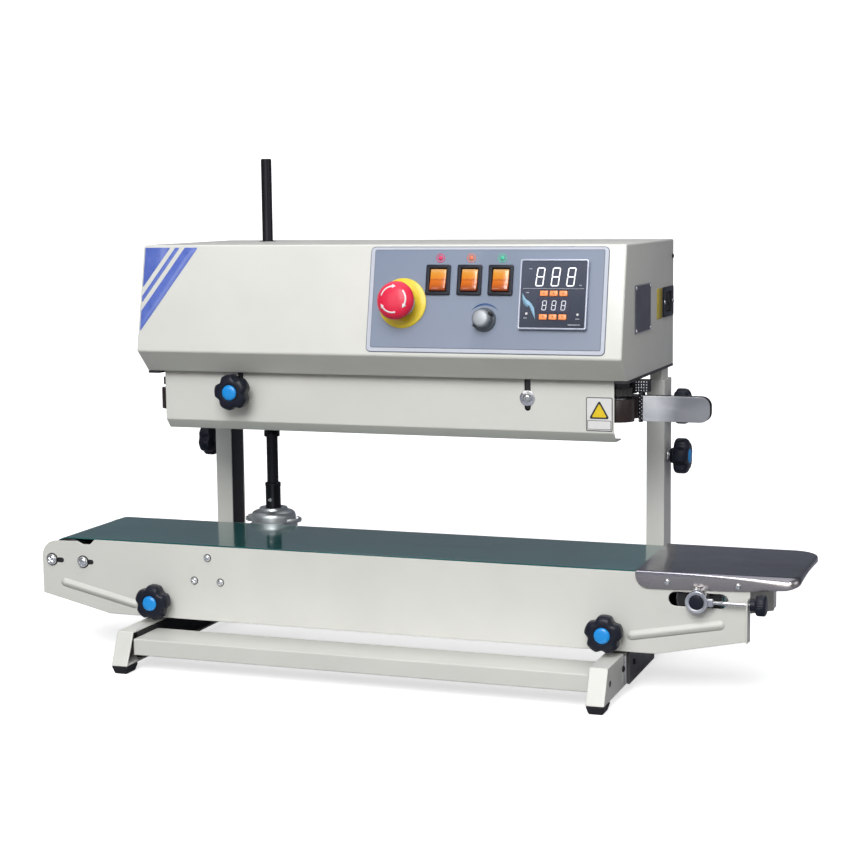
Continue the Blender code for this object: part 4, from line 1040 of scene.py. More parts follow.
def seven(name, text, x0, y0, w, h, t, pitch, mat, z, slant=0.10):
    """Seven-segment figures from bevel-ended bars."""
    g = t * 0.12
    bm = bmesh.new()

    def bar(p, q, n):
        p, q = Vector(p), Vector(q)
        d = (q - p).normalized()
        c = Vector((-d.y, d.x)) * t / 2
        p, q = p + d * g, q - d * g
        pts = [p, p + d * t / 2 + c, q - d * t / 2 + c, q, q - d * t / 2 - c, p + d * t / 2 - c]
        lo = [bm.verts.new(((a.x + slant * a.y + n) * MM, a.y * MM, 0)) for a in pts]
        hi = [bm.verts.new((v_.co.x, v_.co.y, 0.14 * MM)) for v_ in lo]
        bm.faces.new(lo)
        bm.faces.new(hi)
        for i in range(6):
            j = (i + 1) % 6
            bm.faces.new((lo[i], lo[j], hi[j], hi[i]))

    for k, ch in enumerate(text):
        ox = k * pitch
        P = {"a": ((0, h), (w, h)), "b": ((w, h), (w, h / 2)), "c": ((w, h / 2), (w, 0)),
             "d": ((0, 0), (w, 0)), "e": ((0, 0), (0, h / 2)), "f": ((0, h / 2), (0, h)),
             "g": ((0, h / 2), (w, h / 2))}
        for s_ in SEGS[ch]:
            bar(*P[s_], ox)
    return put(name, bm_mesh(name, bm), mat, on_panel(x0, y0, z), "head", 30)


seven("display_upper", "888", 181.0, -43.6, 7.4, 18.2, 1.2, 16.2, DIGIT, 5.60)
seven("display_lower", "888", 188.7, -68.2, 4.0, 9.2, 0.72, 10.0, DIGIT2, 5.66)
NAVY = plastic("mat_navy_window", (0.012, 0.014, 0.05), 0.25, strength=0.03)
plate("display_window", [rect(0, 0, 35.0, 15.6, 0.8, 3)], 0.12, NAVY, on_panel(cx + 0.6, -63.4, 5.61),
      "head", 0.02, 1, smooth=12)
LINE = plastic("mat_pale_line", (0.42, 0.45, 0.52), 0.35, strength=0.03)
plate("display_divider", [rect(0, 0, 64.0, 0.5)], 0.12, LINE, on_panel(cx, -46.4, 5.56), "head")
# plain accent stroke on the face, status lamps, small tick marks
STROKE = plastic("mat_sky_stroke", (0.30, 0.52, 0.70), 0.35, strength=0.03)
plate("face_stroke", [[(167.6, -51.3), (171.2, -56.9), (174.8, -59.3), (178.0, -62.3),
                       (180.6, -66.3), (182.4, -78.3), (179.0, -72.3), (175.2, -63.9),
                       (172.5, -65.9), (169.3, -62.5), (167.6, -57.3)]], 0.12,
      STROKE, on_panel(0, 0, 5.57), "head", 0.02, 1)
for i, (x, y) in enumerate(((172.8, -72.2), (226.4, -72.8))):
    lathe("face_lamp_%d" % (i + 1), [(0, 0.9), (0.9, 0.75), (1.3, 0.2), (1.3, 0), (0, 0)], WHITE_INK,
          on_panel(x, y, 5.5), "head", 24)
for i, (x, y, w) in enumerate(((167.6 + 4.0, -76.6, 3.6), (226.4, -77.2, 4.2),
                               (175.0, -26.2, 3.4), (228.0, -43.0, 2.6), (223.0, -83.2, 13.0),
                               (173.0, -50.6, 3.0))):
    plate("face_tick_%d" % (i + 1), [rect(0, 0, w, 0.9, 0.3, 2)], 0.12, LINE,
          on_panel(x, y, 5.56), "head")

# =============================================================== right end: plate, sticker, inlet
PLATE_DARK = metal("mat_name_plate", (0.115, 0.108, 0.150), 0.34, (60, 60, 1800), 0.1, var=0.15,
                   metallic=0.5)
side = at(HEAD_X, 0, 0)
npl = plate("blank_plate", [rect(0, 0, 70, 50, 1.5, 4)], 0.9, PLATE_DARK,
            at(HEAD_X + 0.5, 14.5, 391.6, ROT_YZ), "head", 0.2, 2, smooth=12)
plate("blank_plate_rim", [rect(0, 0, 69.4, 49.4, 1.4, 4), rect(0, 0, 68.0, 48.0, 1.0, 4)], 0.16, SILVER,
      at(HEAD_X + 1.0, 14.5, 391.6, ROT_YZ), "head")
for i, (y, z) in enumerate(((-17.6, 413.6), (46.6, 413.6), (-17.6, 369.6), (46.6, 369.6))):
    lathe("plate_rivet_%d" % (i + 1), [(0, 1.5), (1.0, 1.35), (1.8, 0.7), (2.0, 0), (0, 0)], CHROME,
          at(HEAD_X + 0.95, y, z, ROT_RIGHT), "head", 24)
STICKER = plastic("mat_yellow_sticker", (0.56, 0.44, 0.07), 0.42, strength=0.08, var=0.08)
plate("plain_sticker", [rect(0, 0, 27.0, 33, 0.8, 3)], 0.18, STICKER,
      at(HEAD_X + 0.1, 94.6, 391.5, ROT_YZ), "head", 0.04, 1)
inlet = put("inlet_flange", outline_mesh("inlet", [rect(0, 0, 50, 33, 2.4, 5), rect(-2, 0, 30, 22, 2.5, 5)],
                                         1.6, 0.5, 3), BLACK, at(HEAD_X + 0.9, 134, 392, ROT_YZ),
            "head", 35)
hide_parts("power_inlet")
cup = outline_mesh("inlet_cup", [rect(-2, 0, 32, 24, 2.5, 5), rect(-2, 0, 29.8, 21.8, 2.3, 5)], 14.0, 0)
put("inlet_cup", cup, BLACK_MATT, at(HEAD_X - 5.4, 134, 392, ROT_YZ), "head", 35)
block("inlet_back", (HEAD_X - 1.6, 117.2, 381.2), (HEAD_X + 0.35, 146.8, 402.8), BLACK_MATT, "head",
      0.3, 2)
for i, (dy, dz) in enumerate(((-7, -2), (7, -2), (0, 3.5))):
    block("inlet_pin_%d" % (i + 1), (HEAD_X - 1.0, 132 + dy - 1.0, 392 + dz - 2.4),
          (HEAD_X + 1.3, 132 + dy + 1.0, 392 + dz + 2.4), DARK_STEEL, "head", 0.3, 2)
for i, dy in enumerate((-21.5, 21.5)):
    screw("inlet_screw_%d" % (i + 1), "pan", 2.4, 1.4, at(HEAD_X + 1.6, 134 + dy, 392, ROT_RIGHT),
          "head", 25 * i)
screw("side_screw", "pan", 2.6, 1.8, at(HEAD_X, 159.0, 441.0, ROT_RIGHT), "head", 15, BLACK)
for i, (y, z) in enumerate(((-30, 331), (60, 331), (150, 331))):
    screw("cover_screw_%d" % (i + 1), "pan", 2.4, 1.6, at(-HEAD_X, y, z, ROT_LEFT), "head", 30 * i)

# rear of the cover: louvres and screws
for i in range(7):
    z = 372.0 + i * 9.0
    lou = []
    for k in range(9):
        a = math.pi * k / 8
        lou.append((2.6 * math.sin(a), -3.2 * math.cos(a)))
    for cxx in (-90, 90):
        bm = bmesh.new()
        rows = []
        for xx, sc in ((-31, 0.02), (-29.5, 0.6), (-27, 0.95), (-24, 1.0), (24, 1.0), (27, 0.95),
                       (29.5, 0.6), (31, 0.02)):
            rows.append([bm.verts.new((xx * MM, d * sc * MM, h * MM)) for d, h in lou])
        for ra, rb in zip(rows, rows[1:]):
            for k in range(8):
                bm.faces.new((ra[k], ra[k + 1], rb[k + 1], rb[k]))
        put("louvre_%d_%s" % (i + 1, "l" if cxx < 0 else "r"), bm_mesh("louvre", bm), BEIGE,
            at(cxx, HEAD_BACK - 0.05, z), "head", 60).modifiers.new("sheet", 'SOLIDIFY').thickness = \
            0.0004
        # black strip under each louvre: painted shade in its opening
        block("louvre_gap_%d_%s" % (i + 1, "l" if cxx < 0 else "r"),
              (cxx - 27, HEAD_BACK - 0.1, z - 3.6), (cxx + 27, HEAD_BACK + 0.5, z - 2.9), BLACK_MATT,
              "head", 0.1, 1)
for i, (x, z) in enumerate(((-255, 331), (0, 331), (255, 331))):
    screw("rear_screw_%d" % (i + 1), "pan", 2.6, 1.8, at(x, HEAD_BACK, z, ROT_BACK), "head", 40 * i)

# =============================================================== front guard
def bend_path(points, radius, n=6):
    """Open polyline with its inner corners rounded."""
    out = [tuple(points[0])]
    for i in range(1, len(points) - 1):
        seg = rounded([points[i - 1], points[i], points[i + 1]], [0, radius, 0], n)
        out += seg[1:-1]
    out.append(tuple(points[-1]))
    return out


def bent_sheet(name, path, x0, x1, thickness, mat, body, offset=-1.0, flip=False):
    """Sheet bent along a (y, z) path and running from x0 to x1."""
    bm = bmesh.new()
    rows = [[bm.verts.new((x * MM, y * MM, z * MM)) for y, z in path] for x in (x0, x1)]
    for i in range(len(path) - 1):
        q = (rows[0][i], rows[1][i], rows[1][i + 1], rows[0][i + 1])
        bm.faces.new(q[::-1] if flip else q)
    me = bpy.data.meshes.new(name)
    bm.to_mesh(me)
    bm.free()
    ob = put(name, me, mat, IDENT, None, 30)
    s_ = ob.modifiers.new("sheet", 'SOLIDIFY')
    s_.thickness = thickness * MM
    s_.offset = offset
    s_.use_even_offset = True
    return ob


GX = guard_hi[0]
GY = guard_lo[1]
GSX = 164.2
gpath = bend_path([(GY, guard_hi[2]), (GY, 266.3), (GY + 9, 256.0), (guard_hi[1], 256.0)], 2.0)
guard = bent_sheet("front_guard_sheet", gpath, -GX, GX, 1.5, BEIGE, "guard", offset=-1.0, flip=True)
apply_boolean(guard, [tool(outline_mesh("t", [slot(287, 327, s * GSX, 3.3, vertical=True)], 12.0),
                           at(0, GY, 0, ROT_FRONT)) for s in (-1, 1)])
be = guard.modifiers.new("edges", 'BEVEL')
be.width = 0.45 * MM
be.segments = 2
be.limit_method = 'ANGLE'
be.angle_limit = rad(50)
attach(guard, "guard")
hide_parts("front_guard")
put("guard_washer", screw_mesh("washer", 8.2, 1.2).copy(), None,
    at(GSX, GY - 0.12, 300.5, ROT_FRONT), "head", 32)
screw("guard_screw", "pan", 4.6, 3.0, at(GSX, GY - 1.2, 300.5, ROT_FRONT), "head", 10)
# plain notice plate: white field, yellow triangle, no print
NOTE = plastic("mat_note_film", (0.80, 0.80, 0.79), 0.34, strength=0.05, var=0.03, coat=0.2)
NOTE_Y = plastic("mat_note_yellow", (0.86, 0.62, 0.02), 0.34, strength=0.05, var=0.04)
NOTE_K = plastic("mat_note_black", (0.02, 0.02, 0.025), 0.4, strength=0.05, var=0.1)
ncx, ncz, nw, nh = 240.9, 285.6, 27.9, 35.0
plate("notice_edge", [rect(0, 0, nw, nh, 1.6, 4)], 0.30, NOTE_K, at(ncx, GY - 0.15, ncz, ROT_FRONT),
      "guard", 0.05, 1, smooth=12)
plate("notice_field", [rect(0, 0, nw - 1.6, nh - 1.6, 1.1, 4)], 0.16, NOTE,
      at(ncx, GY - 0.36, ncz, ROT_FRONT), "guard", 0.03, 1, smooth=12)
plate("notice_triangle_edge", [rounded([(-10.9, -8.6), (10.9, -8.6), (0, 10.8)], 1.5, 5)], 0.14, NOTE_K,
      at(ncx, GY - 0.49, ncz + 3.9, ROT_FRONT), "guard", smooth=12)
plate("notice_triangle", [rounded([(-8.0, -7.0), (8.0, -7.0), (0, 7.3)], 0.9, 5)], 0.12, NOTE_Y,
      at(ncx, GY - 0.60, ncz + 3.9, ROT_FRONT), "guard", smooth=12)
plate("notice_frame", [rect(0, 0, 25.0, 9.4, 0.7, 3), rect(0, 0, 24.0, 8.4, 0.5, 3)], 0.12, NOTE_K,
      at(ncx, GY - 0.49, ncz - 11.0, ROT_FRONT), "guard", smooth=12)

# =============================================================== star knobs
def star_mesh(h0):
    """Five-lobed moulded knob: deep scallops, rounded shoulders, round neck."""
    N = 160
    levels = []
    # neck
    for z, r in ((3.4, 7.6), (3.6, 8.2), (4.2, 8.5), (h0 - 3.0, 9.0), (h0 - 1.2, 9.8),
                 (h0 - 0.4, 11.5)):
        levels.append((z, r, 0.0))
    # underside shoulder, wall, top shoulder
    lobes = [(12.6, 15.5, 0.30), (12.9, 17.2, 0.55), (13.6, 18.2, 0.78), (14.8, 18.9, 0.93),
             (16.4, 19.2, 1.0), (23.2, 19.2, 1.0), (25.4, 18.9, 0.96), (27.2, 18.0, 0.86),
             (28.6, 16.6, 0.70), (29.4, 14.8, 0.48), (29.8, 12.6, 0.22), (29.9, 10.2, 0.0),
             (29.7, 9.4, 0.0), (28.6, 9.2, 0.0)]
    levels += [(h0 + (z - 12.6) * 0.963, r, k) for z, r, k in lobes]
    bm = bmesh.new()
    rings = []
    for z, r, k in levels:
        ring = []
        for i in range(N):
            a = 2 * math.pi * i / N
            c = math.cos(5 * a)
            # broad rounded lobes and narrow round scallops between them
            f = 1.0 - 2.0 * (max(0.0, (0.25 - c) / 1.25)) ** 1.7
            rr = r + k * (1.5 + 1.75 * (f - 1.0))
            ring.append(bm.verts.new((0.955 * rr * MM * math.sin(a), 0.955 * rr * MM * math.cos(a),
                                      z * MM)))
        rings.append(ring)
    for ra, rb in zip(rings, rings[1:]):
        for i in range(N):
            j = (i + 1) % N
            bm.faces.new((ra[i], ra[j], rb[j], rb[i]))
    bm.faces.new(rings[0])
    bm.faces.new(rings[-1])
    me = bm_mesh("star_knob_body", bm)
    me.materials.append(BLACK)
    me.shade_smooth()
    me.set_sharp_from_angle(angle=rad(45))
    return me


def cap_mesh(h0):
    me = lathe_mesh("star_knob_cap", [(0, h0 + 18.1), (3.0, h0 + 18.05), (6.0, h0 + 17.7),
                                      (7.6, h0 + 17.0), (8.3, h0 + 16.2), (8.5, h0 + 15.4),
                                      (8.5, h0 + 14.4), (0, h0 + 14.4)], 56)
    me.materials.append(BLUE_CAP)
    me.shade_smooth()
    me.set_sharp_from_angle(angle=rad(35))
    return me


STAR, CAP = star_mesh(8.5), cap_mesh(8.5)
STAR_LONG, CAP_LONG = star_mesh(13.5), cap_mesh(13.5)
STUD = lathe_mesh("star_knob_stud", [(0, 3.6), (4.6, 3.6), (4.6, 2.2), (7.9, 2.2), (8.1, 1.9),
                                     (8.1, 0.5), (7.9, 0.2), (3.9, 0.2), (3.9, -2.4), (0, -2.4)], 40)
STUD.materials.append(STEEL)
STUD.shade_smooth()
STUD.set_sharp_from_angle(angle=rad(35))


def knob(node, matrix, body, spin=0.0, long=False):
    out = []
    for part, me in (("grip", STAR_LONG if long else STAR), ("cap", CAP_LONG if long else CAP),
                     ("stud", STUD)):
        ob = bpy.data.objects.new("%s_%s" % (node, part), me)
        scene.collection.objects.link(ob)
        ob.matrix_world = TO_WORLD @ matrix @ Matrix.Rotation(rad(spin), 4, 'Z')
        bpy.context.view_layer.update()
        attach(ob, body)
        out.append(ob)
    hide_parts(node)
    return out


COL_Y = (mm_box("column_left")[0][1] + mm_box("column_left")[1][1]) / 2
for s, l, rot in ((-1, "left", ROT_LEFT), (1, "right", ROT_RIGHT)):
    for z, w, spin in ((221.0, "lower", 10), (276.5, "upper", 44)):
        knob("column_knob_%s_%s" % (l, w), at(s * 274.0, COL_Y, z, rot),
             "knob_column_%s_%s" % (l, w), spin + (0 if s < 0 else 20))
    knob("conveyor_knob_" + l, at(-254.3 if s < 0 else 258.0, plate_lo[1] + 15.0, 67.5, ROT_FRONT),
         "knob_conveyor_" + l, -9 if s < 0 else -4)
knob("guard_knob", at(-GSX, GY, 300.5, ROT_FRONT), "knob_guard", 14, long=True)

# =============================================================== base frame
# dark grey enamel for the conveyor brackets: painted shade, as they sit in shadow under the conveyor
BRACKET_SHADE_SHEET = enamel("mat_bracket_painted_shade", (0.115, 0.108, 0.118), rough=0.38, wear=(0.2, 0.2, 0.21), coat=0.3)
for l in ("left", "right"):
    dress("base_rail_" + l, BEIGE, 0.8)
    dress("column_" + l, BEIGE, 0.8)
    dress("slide_post_" + l, BEIGE, 0.6)
    dress("conveyor_bracket_" + l, BRACKET_SHADE_SHEET, 0.5, 2)
    for w in ("front", "rear"):
        dress("foot_%s_%s" % (w, l), RUBBER, 1.4, 4)
dress("base_crossbar", BEIGE, 0.8)
RAIL_X = mm_box("base_rail_right")[1][0]
for s, l, rot in ((-1, "l", ROT_LEFT), (1, "r", ROT_RIGHT)):
    screw("rail_screw_" + l, "pan", 3.4, 2.0, at(s * RAIL_X, -74, 29, rot), "base", 20, DARK_STEEL)
    # black disc on the rail: painted shade inside an open hole
    lathe("rail_hole_shade_" + l, [(3.4, 0.25), (3.0, 0.35), (2.7, 0.25), (2.6, 0.05), (0, 0.05), (0, 0.0),
                             (3.4, 0.0)], BLACK_MATT, at(s * RAIL_X, -128, 27, rot), "base", 32)
    for i, y in enumerate((-38, 38)):
        screw("bracket_screw_%s_%d" % (l, i + 1), "pan", 3.2, 2.0, at(s * 276.85, y, 28, rot), "base",
              11 * i, DARK_STEEL)
    bk = mm_box("conveyor_bracket_" + ("left" if s < 0 else "right"))
    xo = bk[0][0] if s < 0 else bk[1][0]
    x0, x1 = sorted((xo + s * 0.05, xo - s * 3.4))
    # bright zinc strip on the bracket's front bend: painted highlight along the lit edge
    block("bracket_edge_highlight_" + l, (x0, bk[0][1] - 0.7, 12.8), (x1, bk[0][1] + 0.5, 42.4), ZINC, "base",
          0.3, 3)
    # black sheets closing the open sides of the column and of the rail: painted shade for their shaded insides
    x0, x1 = sorted((s * 254.4, s * 256.2))
    block("column_shade_sheet_" + l, (x0, COL_Y - 15.4, 46.5), (x1, COL_Y + 15.4, 306.4), BLACK_MATT, "base",
          0.3, 2)
    x0, x1 = sorted((s * 255.6, s * 257.0))
    block("rail_shade_sheet_" + l, (x0, -124.0, 12.6), (x1, 200.0, 41.6), BLACK_MATT, "base", 0.3, 2)

# =============================================================== conveyor: plates and belt
dress("conveyor_plate_front", BEIGE, 0.45, 2)
dress("conveyor_plate_rear", BEIGE, 0.45, 2)
dress("conveyor_bed", STEEL, 0.4, 2)
PY = plate_lo[1] + 15.0            # outer face of the front plate
BELT_LO, BELT_HI = mm_box("conveyor_belt")
BELT_HALF = BELT_HI[1]
RZ = 105.2
OUT_X, IN_X, DRV_X, DRV_Z = -370.0, 351.3, -193.0, 100.0
loop = [(OUT_X, RZ, 24.35), (DRV_X, DRV_Z, 24.35), (IN_X, RZ, 24.35)]
belt = put("belt_loop", outline_mesh("belt_loop", [belt_path(loop, 1.5, 64), belt_path(loop, 0.05, 64)],
                                     2 * BELT_HALF, 0.3, 2), BELT, at(0, 0, 0, ROT_FRONT),
           "conveyor", 12)
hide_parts("conveyor_belt")


def roller(name, node, x, z, y0, y1, body, extra=()):
    prof = [(0, y1), (5.4, y1), (6.0, y1 - 0.6), (6.0, 69.2), (9.5, 69.2), (10.0, 68.7), (10.0, 68.0),
            (22.6, 68.0), (23.4, 68.8), (24.0, 68.2), (24.05, 30), (24.1, 0), (24.05, -30),
            (24.0, -68.2), (23.4, -68.8), (22.6, -68.0), (10.0, -68.0), (10.0, -68.7), (9.5, -69.2),
            (6.0, -69.2), (6.0, y0 + 0.6), (5.4, y0), (0, y0)]
    if extra:
        i = next(k for k, p in enumerate(prof) if p == (6.0, 69.2))
        prof = list(extra) + prof[i:]
    ob = lathe(name, prof, STEEL, at(x, 0, z, ROT_BACK), body, 72)
    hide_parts(node)
    for k, (a, c) in enumerate(((68.05, 68.6), (-68.6, -68.05))):
        lathe("%s_end_%d" % (name, k + 1), [(10.4, a), (22.4, a), (22.4, c), (10.4, c)], BLACK_MATT,
              at(x, 0, z, ROT_BACK), body, 64, closed=True)
    return ob


roller("outfeed_roller_turned", "roller_outfeed", OUT_X, RZ, -72.0, 72.0, "outfeed_roller")
roller("infeed_roller_turned", "roller_infeed", IN_X, RZ, -86.6, 84.0, "infeed_roller")
SHY = 100.0
drv = roller("drive_roller_turned", "roller_drive", DRV_X, DRV_Z, -72.0, 72.0, "drive_roller",
             extra=[(0, SHY - 9), (8.6, SHY - 9), (15.6, SHY - 16), (15.6, SHY - 17), (9, SHY - 18),
                    (6, SHY - 18.4)])

# washers and screws on both side plates
for s, l, rot in ((-1, "f", ROT_FRONT), (1, "b", ROT_BACK)):
    y = s * -PY
    for i, (x, z) in enumerate(((-389.9, 105.3), (-350.0, 104.5))):
        lathe("plate_washer_%s_%d" % (l, i + 1), [(0, 0.9), (6.9, 0.9), (7.2, 0.6), (7.2, 0), (0, 0)],
              DARK_STEEL, at(x, y, z, rot), "conveyor", 40)
        screw("plate_bolt_%s_%d" % (l, i + 1), "pan", 6.2, 3.6, at(x, y + s * 0.8, z, rot),
              "conveyor", 25 + 40 * i, CHROME)
    for i, (x, z) in enumerate(((-194.0, 117.5), (-210.6, 91.3), (-178.9, 91.0))):
        lathe("bearing_washer_%s_%d" % (l, i + 1), [(0, 0.4), (4.5, 0.4), (4.5, 0), (0, 0)],
              DARK_STEEL, at(x, y, z, rot), "conveyor", 32)
        screw("bearing_screw_%s_%d" % (l, i + 1), "pan", 3.9, 2.6, at(x, y + s * 0.3, z, rot),
              "conveyor", 33 * i, CHROME)
    # short black plates at the ends of the adjusting slots beside the washers: painted shade in the open slot
    # ends
    for i, x in enumerate((-379.6, -341.6)):
        plate("slot_end_%s_%d" % (l, i + 1), [slot(x - 4.8, x + 4.8, 0, 2.8)], 0.2, BLACK_MATT,
              at(x - x, y, 0) @ at(x, 0, 105.0 - (0.4 if i else 0), rot) @ at(-x, 0, 0), "conveyor")


def emboss(name, p, q, width, height, mat, matrix, body, res=10):
    """Pressed stiffening rib: a long low swelling with round ends."""
    p, q = Vector(p), Vector(q)
    d = (q - p).normalized()
    n = Vector((-d.y, d.x))
    bm = bmesh.new()
    rings = []
    for k in range(-1, res + 1):
        t = max(k, 0) / res
        w = width / 2 * (1 - t) + (2.4 if k < 0 else 0.02)
        h = height * 0.5 * (1 - math.cos(math.pi * t)) - (0.15 if k < 0 else 0.0)
        ring = []
        for i in range(17):
            a = -math.pi / 2 + math.pi * i / 16
            v = q + d * (w * math.cos(a)) + n * (w * math.sin(a))
            ring.append(bm.verts.new((v.x * MM, v.y * MM, h * MM)))
        for i in range(17):
            a = math.pi / 2 + math.pi * i / 16
            v = p + d * (w * math.cos(a)) + n * (w * math.sin(a))
            ring.append(bm.verts.new((v.x * MM, v.y * MM, h * MM)))
        rings.append(ring)
    for ra, rb in zip(rings, rings[1:]):
        for i in range(len(ra)):
            j = (i + 1) % len(ra)
            bm.faces.new((ra[i], ra[j], rb[j], rb[i]))
    bm.faces.new(rings[-1])
    bm.faces.new(rings[0])
    return put(name, bm_mesh(name, bm), mat, matrix, body, 50)


BEIGE_SOFT = enamel("mat_beige_pressed", (0.735, 0.735, 0.69), wear=(0.735, 0.735, 0.69))
emboss("plate_rib_left", (-374, 79.6), (-286, 60.0), 10.0, 1.7, BEIGE_SOFT, at(0, PY, 0, ROT_FRONT),
       "conveyor")
emboss("plate_rib_right", (283, 64.4), (373, 81.0), 10.0, 1.7, BEIGE_SOFT, at(0, PY, 0, ROT_FRONT),
       "conveyor")
emboss("plate_rib_rear_left", (286, 60.0), (374, 79.6), 8.5, 1.5, BEIGE, at(0, -PY, 0) @
       Matrix.Rotation(rad(180), 4, 'Z') @ at(0, 0, 0, ROT_FRONT), "conveyor")
emboss("plate_rib_rear_right", (-373, 81.0), (-283, 64.4), 8.5, 1.5, BEIGE, at(0, -PY, 0) @
       Matrix.Rotation(rad(180), 4, 'Z') @ at(0, 0, 0, ROT_FRONT), "conveyor")

# =============================================================== belt tensioner
collar = lathe("carrier_collar", [(11.4, 85.7), (11.0, 86.2), (8.0, 86.2), (6.6, 85.4), (6.6, -PY + 0.4),
                                  (10.6, -PY + 0.4), (11.4, -PY + 1.2)], STAINLESS,
               at(IN_X, 0, RZ, ROT_FRONT), "tension_block", 64, closed=True)
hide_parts("tension_carrier")
block("carrier_lug", (IN_X + 9.6, -84.6, 101.2), (IN_X + 16.6, -77.4, 109.2), STAINLESS,
      "tension_block", 0.9, 3)
screw("carrier_set_screw", "socket", 4.4, 3.2, at(IN_X - 0.8, -81.0, RZ + 10.4), "tension_block")
lathe("axle_face", [(0, 0.9), (5.6, 0.9), (6.9, 0.5), (7.2, 0.1), (7.2, -0.2), (0, -0.2)], BLACK,
      at(IN_X, -86.6, RZ, ROT_FRONT), "infeed_roller", 40)
SX = IN_X + 17.0
bm = bmesh.new()
rings = []
N = 120
knurl = [(52.2, 0.02, 0), (52.2, 7.6, 0), (51.8, 8.8, 0), (51.0, 9.9, 0.10), (50.4, 10.25, 0.25),
         (43.6, 10.25, 0.25), (42.8, 9.9, 0.10), (42.0, 9.0, 0), (41.6, 7.6, 0), (41.3, 6.2, 0),
         (36.6, 6.2, 0), (36.2, 5.8, 0), (36.2, 1.6, 0), (-1.2, 1.6, 0), (-1.6, 1.3, 0),
         (-1.6, 0.02, 0)]
for z, r, k in knurl:
    rings.append([bm.verts.new(((r + k * math.cos(30 * 2 * math.pi * i / N)) * MM *
                                math.cos(2 * math.pi * i / N),
                                (r + k * math.cos(30 * 2 * math.pi * i / N)) * MM *
                                math.sin(2 * math.pi * i / N), z * MM)) for i in range(N)])
for ra, rb in zip(rings, rings[1:]):
    for i in range(N):
        j = (i + 1) % N
        bm.faces.new((ra[i], ra[j], rb[j], rb[i]))
bm.faces.new(rings[0])
bm.faces.new(rings[-1])
tens = put("tension_screw_head", bm_mesh("tension_screw_head", bm), BLACK,
           at(SX, -81.0, RZ, ROT_RIGHT), "tension_knob", 35)
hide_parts("tension_screw")
thread = [(1.9, 36.0), (1.9, 10.4)]
zt = 10.0
while zt > -1.6:
    thread += [(1.98, zt), (1.8, zt - 0.4)]
    zt -= 0.8
thread += [(1.8, -2.1), (0, -2.1)]
lathe("tension_thread", [(0, 36.0)] + thread, ZINC, at(SX, -81.0, RZ, ROT_RIGHT), "tension_knob", 32)

# =============================================================== infeed tray
TR_LO, TR_HI = mm_box("infeed_tray")
TX0, TX1, TZ = TR_LO[0], TR_HI[0], TR_HI[2]
TY = TR_HI[1]


def tray_mesh():
    """Thin sheet, flat on top, its long edges and far end rolled down."""
    path = []                                    # (x, y, nx, ny, depth of the lip)
    rc = 13.0

    def depth_front(x):
        if x < TX0 + 13.4:
            u = (13.4 - (x - TX0)) / 13.4
            return 4.6 + 13.4 * math.sqrt(max(0.0, 1 - u * u))
        table = ((TX0 + 13.4, 18.0), (TX0 + 64, 17.0), (TX0 + 118, 15.0), (TX1 - 13, 12.5))
        for (xa, da), (xb, db) in zip(table, table[1:]):
            if x <= xb + 1e-6:
                return da + (db - da) * (x - xa) / (xb - xa)
        return 12.5

    xs = [TX0 + 13.4 * (1 - math.cos(math.pi / 2 * k / 10)) for k in range(11)]
    xs += [TX0 + 13.4 + (TX1 - rc - TX0 - 13.4) * k / 24 for k in range(1, 25)]
    for x in xs:
        t = max(0.0, (x - TX0 - 20) / (TX1 - rc - TX0 - 20))
        path.append((x, -TY, 0, -1, depth_front(x), 1.9 + 7.6 * t ** 2.4))
    for k in range(1, 13):
        a = rad(-90 + 90 * k / 12)
        d = 12.3 - 6.1 * (k / 12) ** 1.2
        path.append((TX1 - rc + rc * math.cos(a), -TY + rc + rc * math.sin(a), math.cos(a),
                     math.sin(a), d, min(9.5 - 4.6 * k / 12, d - 0.4)))
    for k in range(1, 16):
        t = k / 16
        path.append((TX1 - 0.8 * math.sin(math.pi * t), -TY + rc + (2 * TY - rc - 28) * t, 1, 0,
                     6.2 - 0.8 * math.sin(math.pi * t), 4.6 - 2.0 * t))
    for k in range(13):
        a = rad(90 * k / 12)
        path.append((TX1 - 28 + 28 * math.cos(a), TY - 28 + 28 * math.sin(a), math.cos(a),
                     math.sin(a), 6.2 + 5.8 * k / 12, 2.6 - 0.7 * k / 12))
    for x in reversed([TX0 + (TX1 - 30 - TX0) * k / 14 for k in range(15)]):
        path.append((x, TY, 0, 1, min(13.5, 4.6 + (x - TX0) * 0.65) if x < TX0 + 14 else
                     12.0 + 1.5 * (TX1 - 30 - x) / (TX1 - 30 - TX0), 1.9))
    bm = bmesh.new()
    rows = []
    for x, y, nx, ny, d, r in path:
        row = [bm.verts.new(((x - nx * (r + 1.5)) * MM, (y - ny * (r + 1.5)) * MM, TZ * MM))]
        for k in range(7):
            a = math.pi / 2 * k / 6
            off = r * (math.sin(a) - 1)
            dz = r * (1 - math.cos(a))
            row.append(bm.verts.new(((x + nx * off) * MM, (y + ny * off) * MM, (TZ - dz) * MM)))
        row.append(bm.verts.new((x * MM, y * MM, (TZ - max(d, r + 0.2)) * MM)))
        rows.append(row)
    for ra, rb in zip(rows, rows[1:]):
        for k in range(len(ra) - 1):
            bm.faces.new((ra[k], ra[k + 1], rb[k + 1], rb[k]))
    bm.faces.new([row[0] for row in rows])
    bmesh.ops.recalc_face_normals(bm, faces=bm.faces)
    up = [f for f in bm.faces if abs(f.normal.z) > 0.9]
    if sum(f.normal.z for f in up) < 0:
        bmesh.ops.reverse_faces(bm, faces=bm.faces)
    me = bpy.data.meshes.new("tray_sheet")
    bm.to_mesh(me)
    bm.free()
    return me


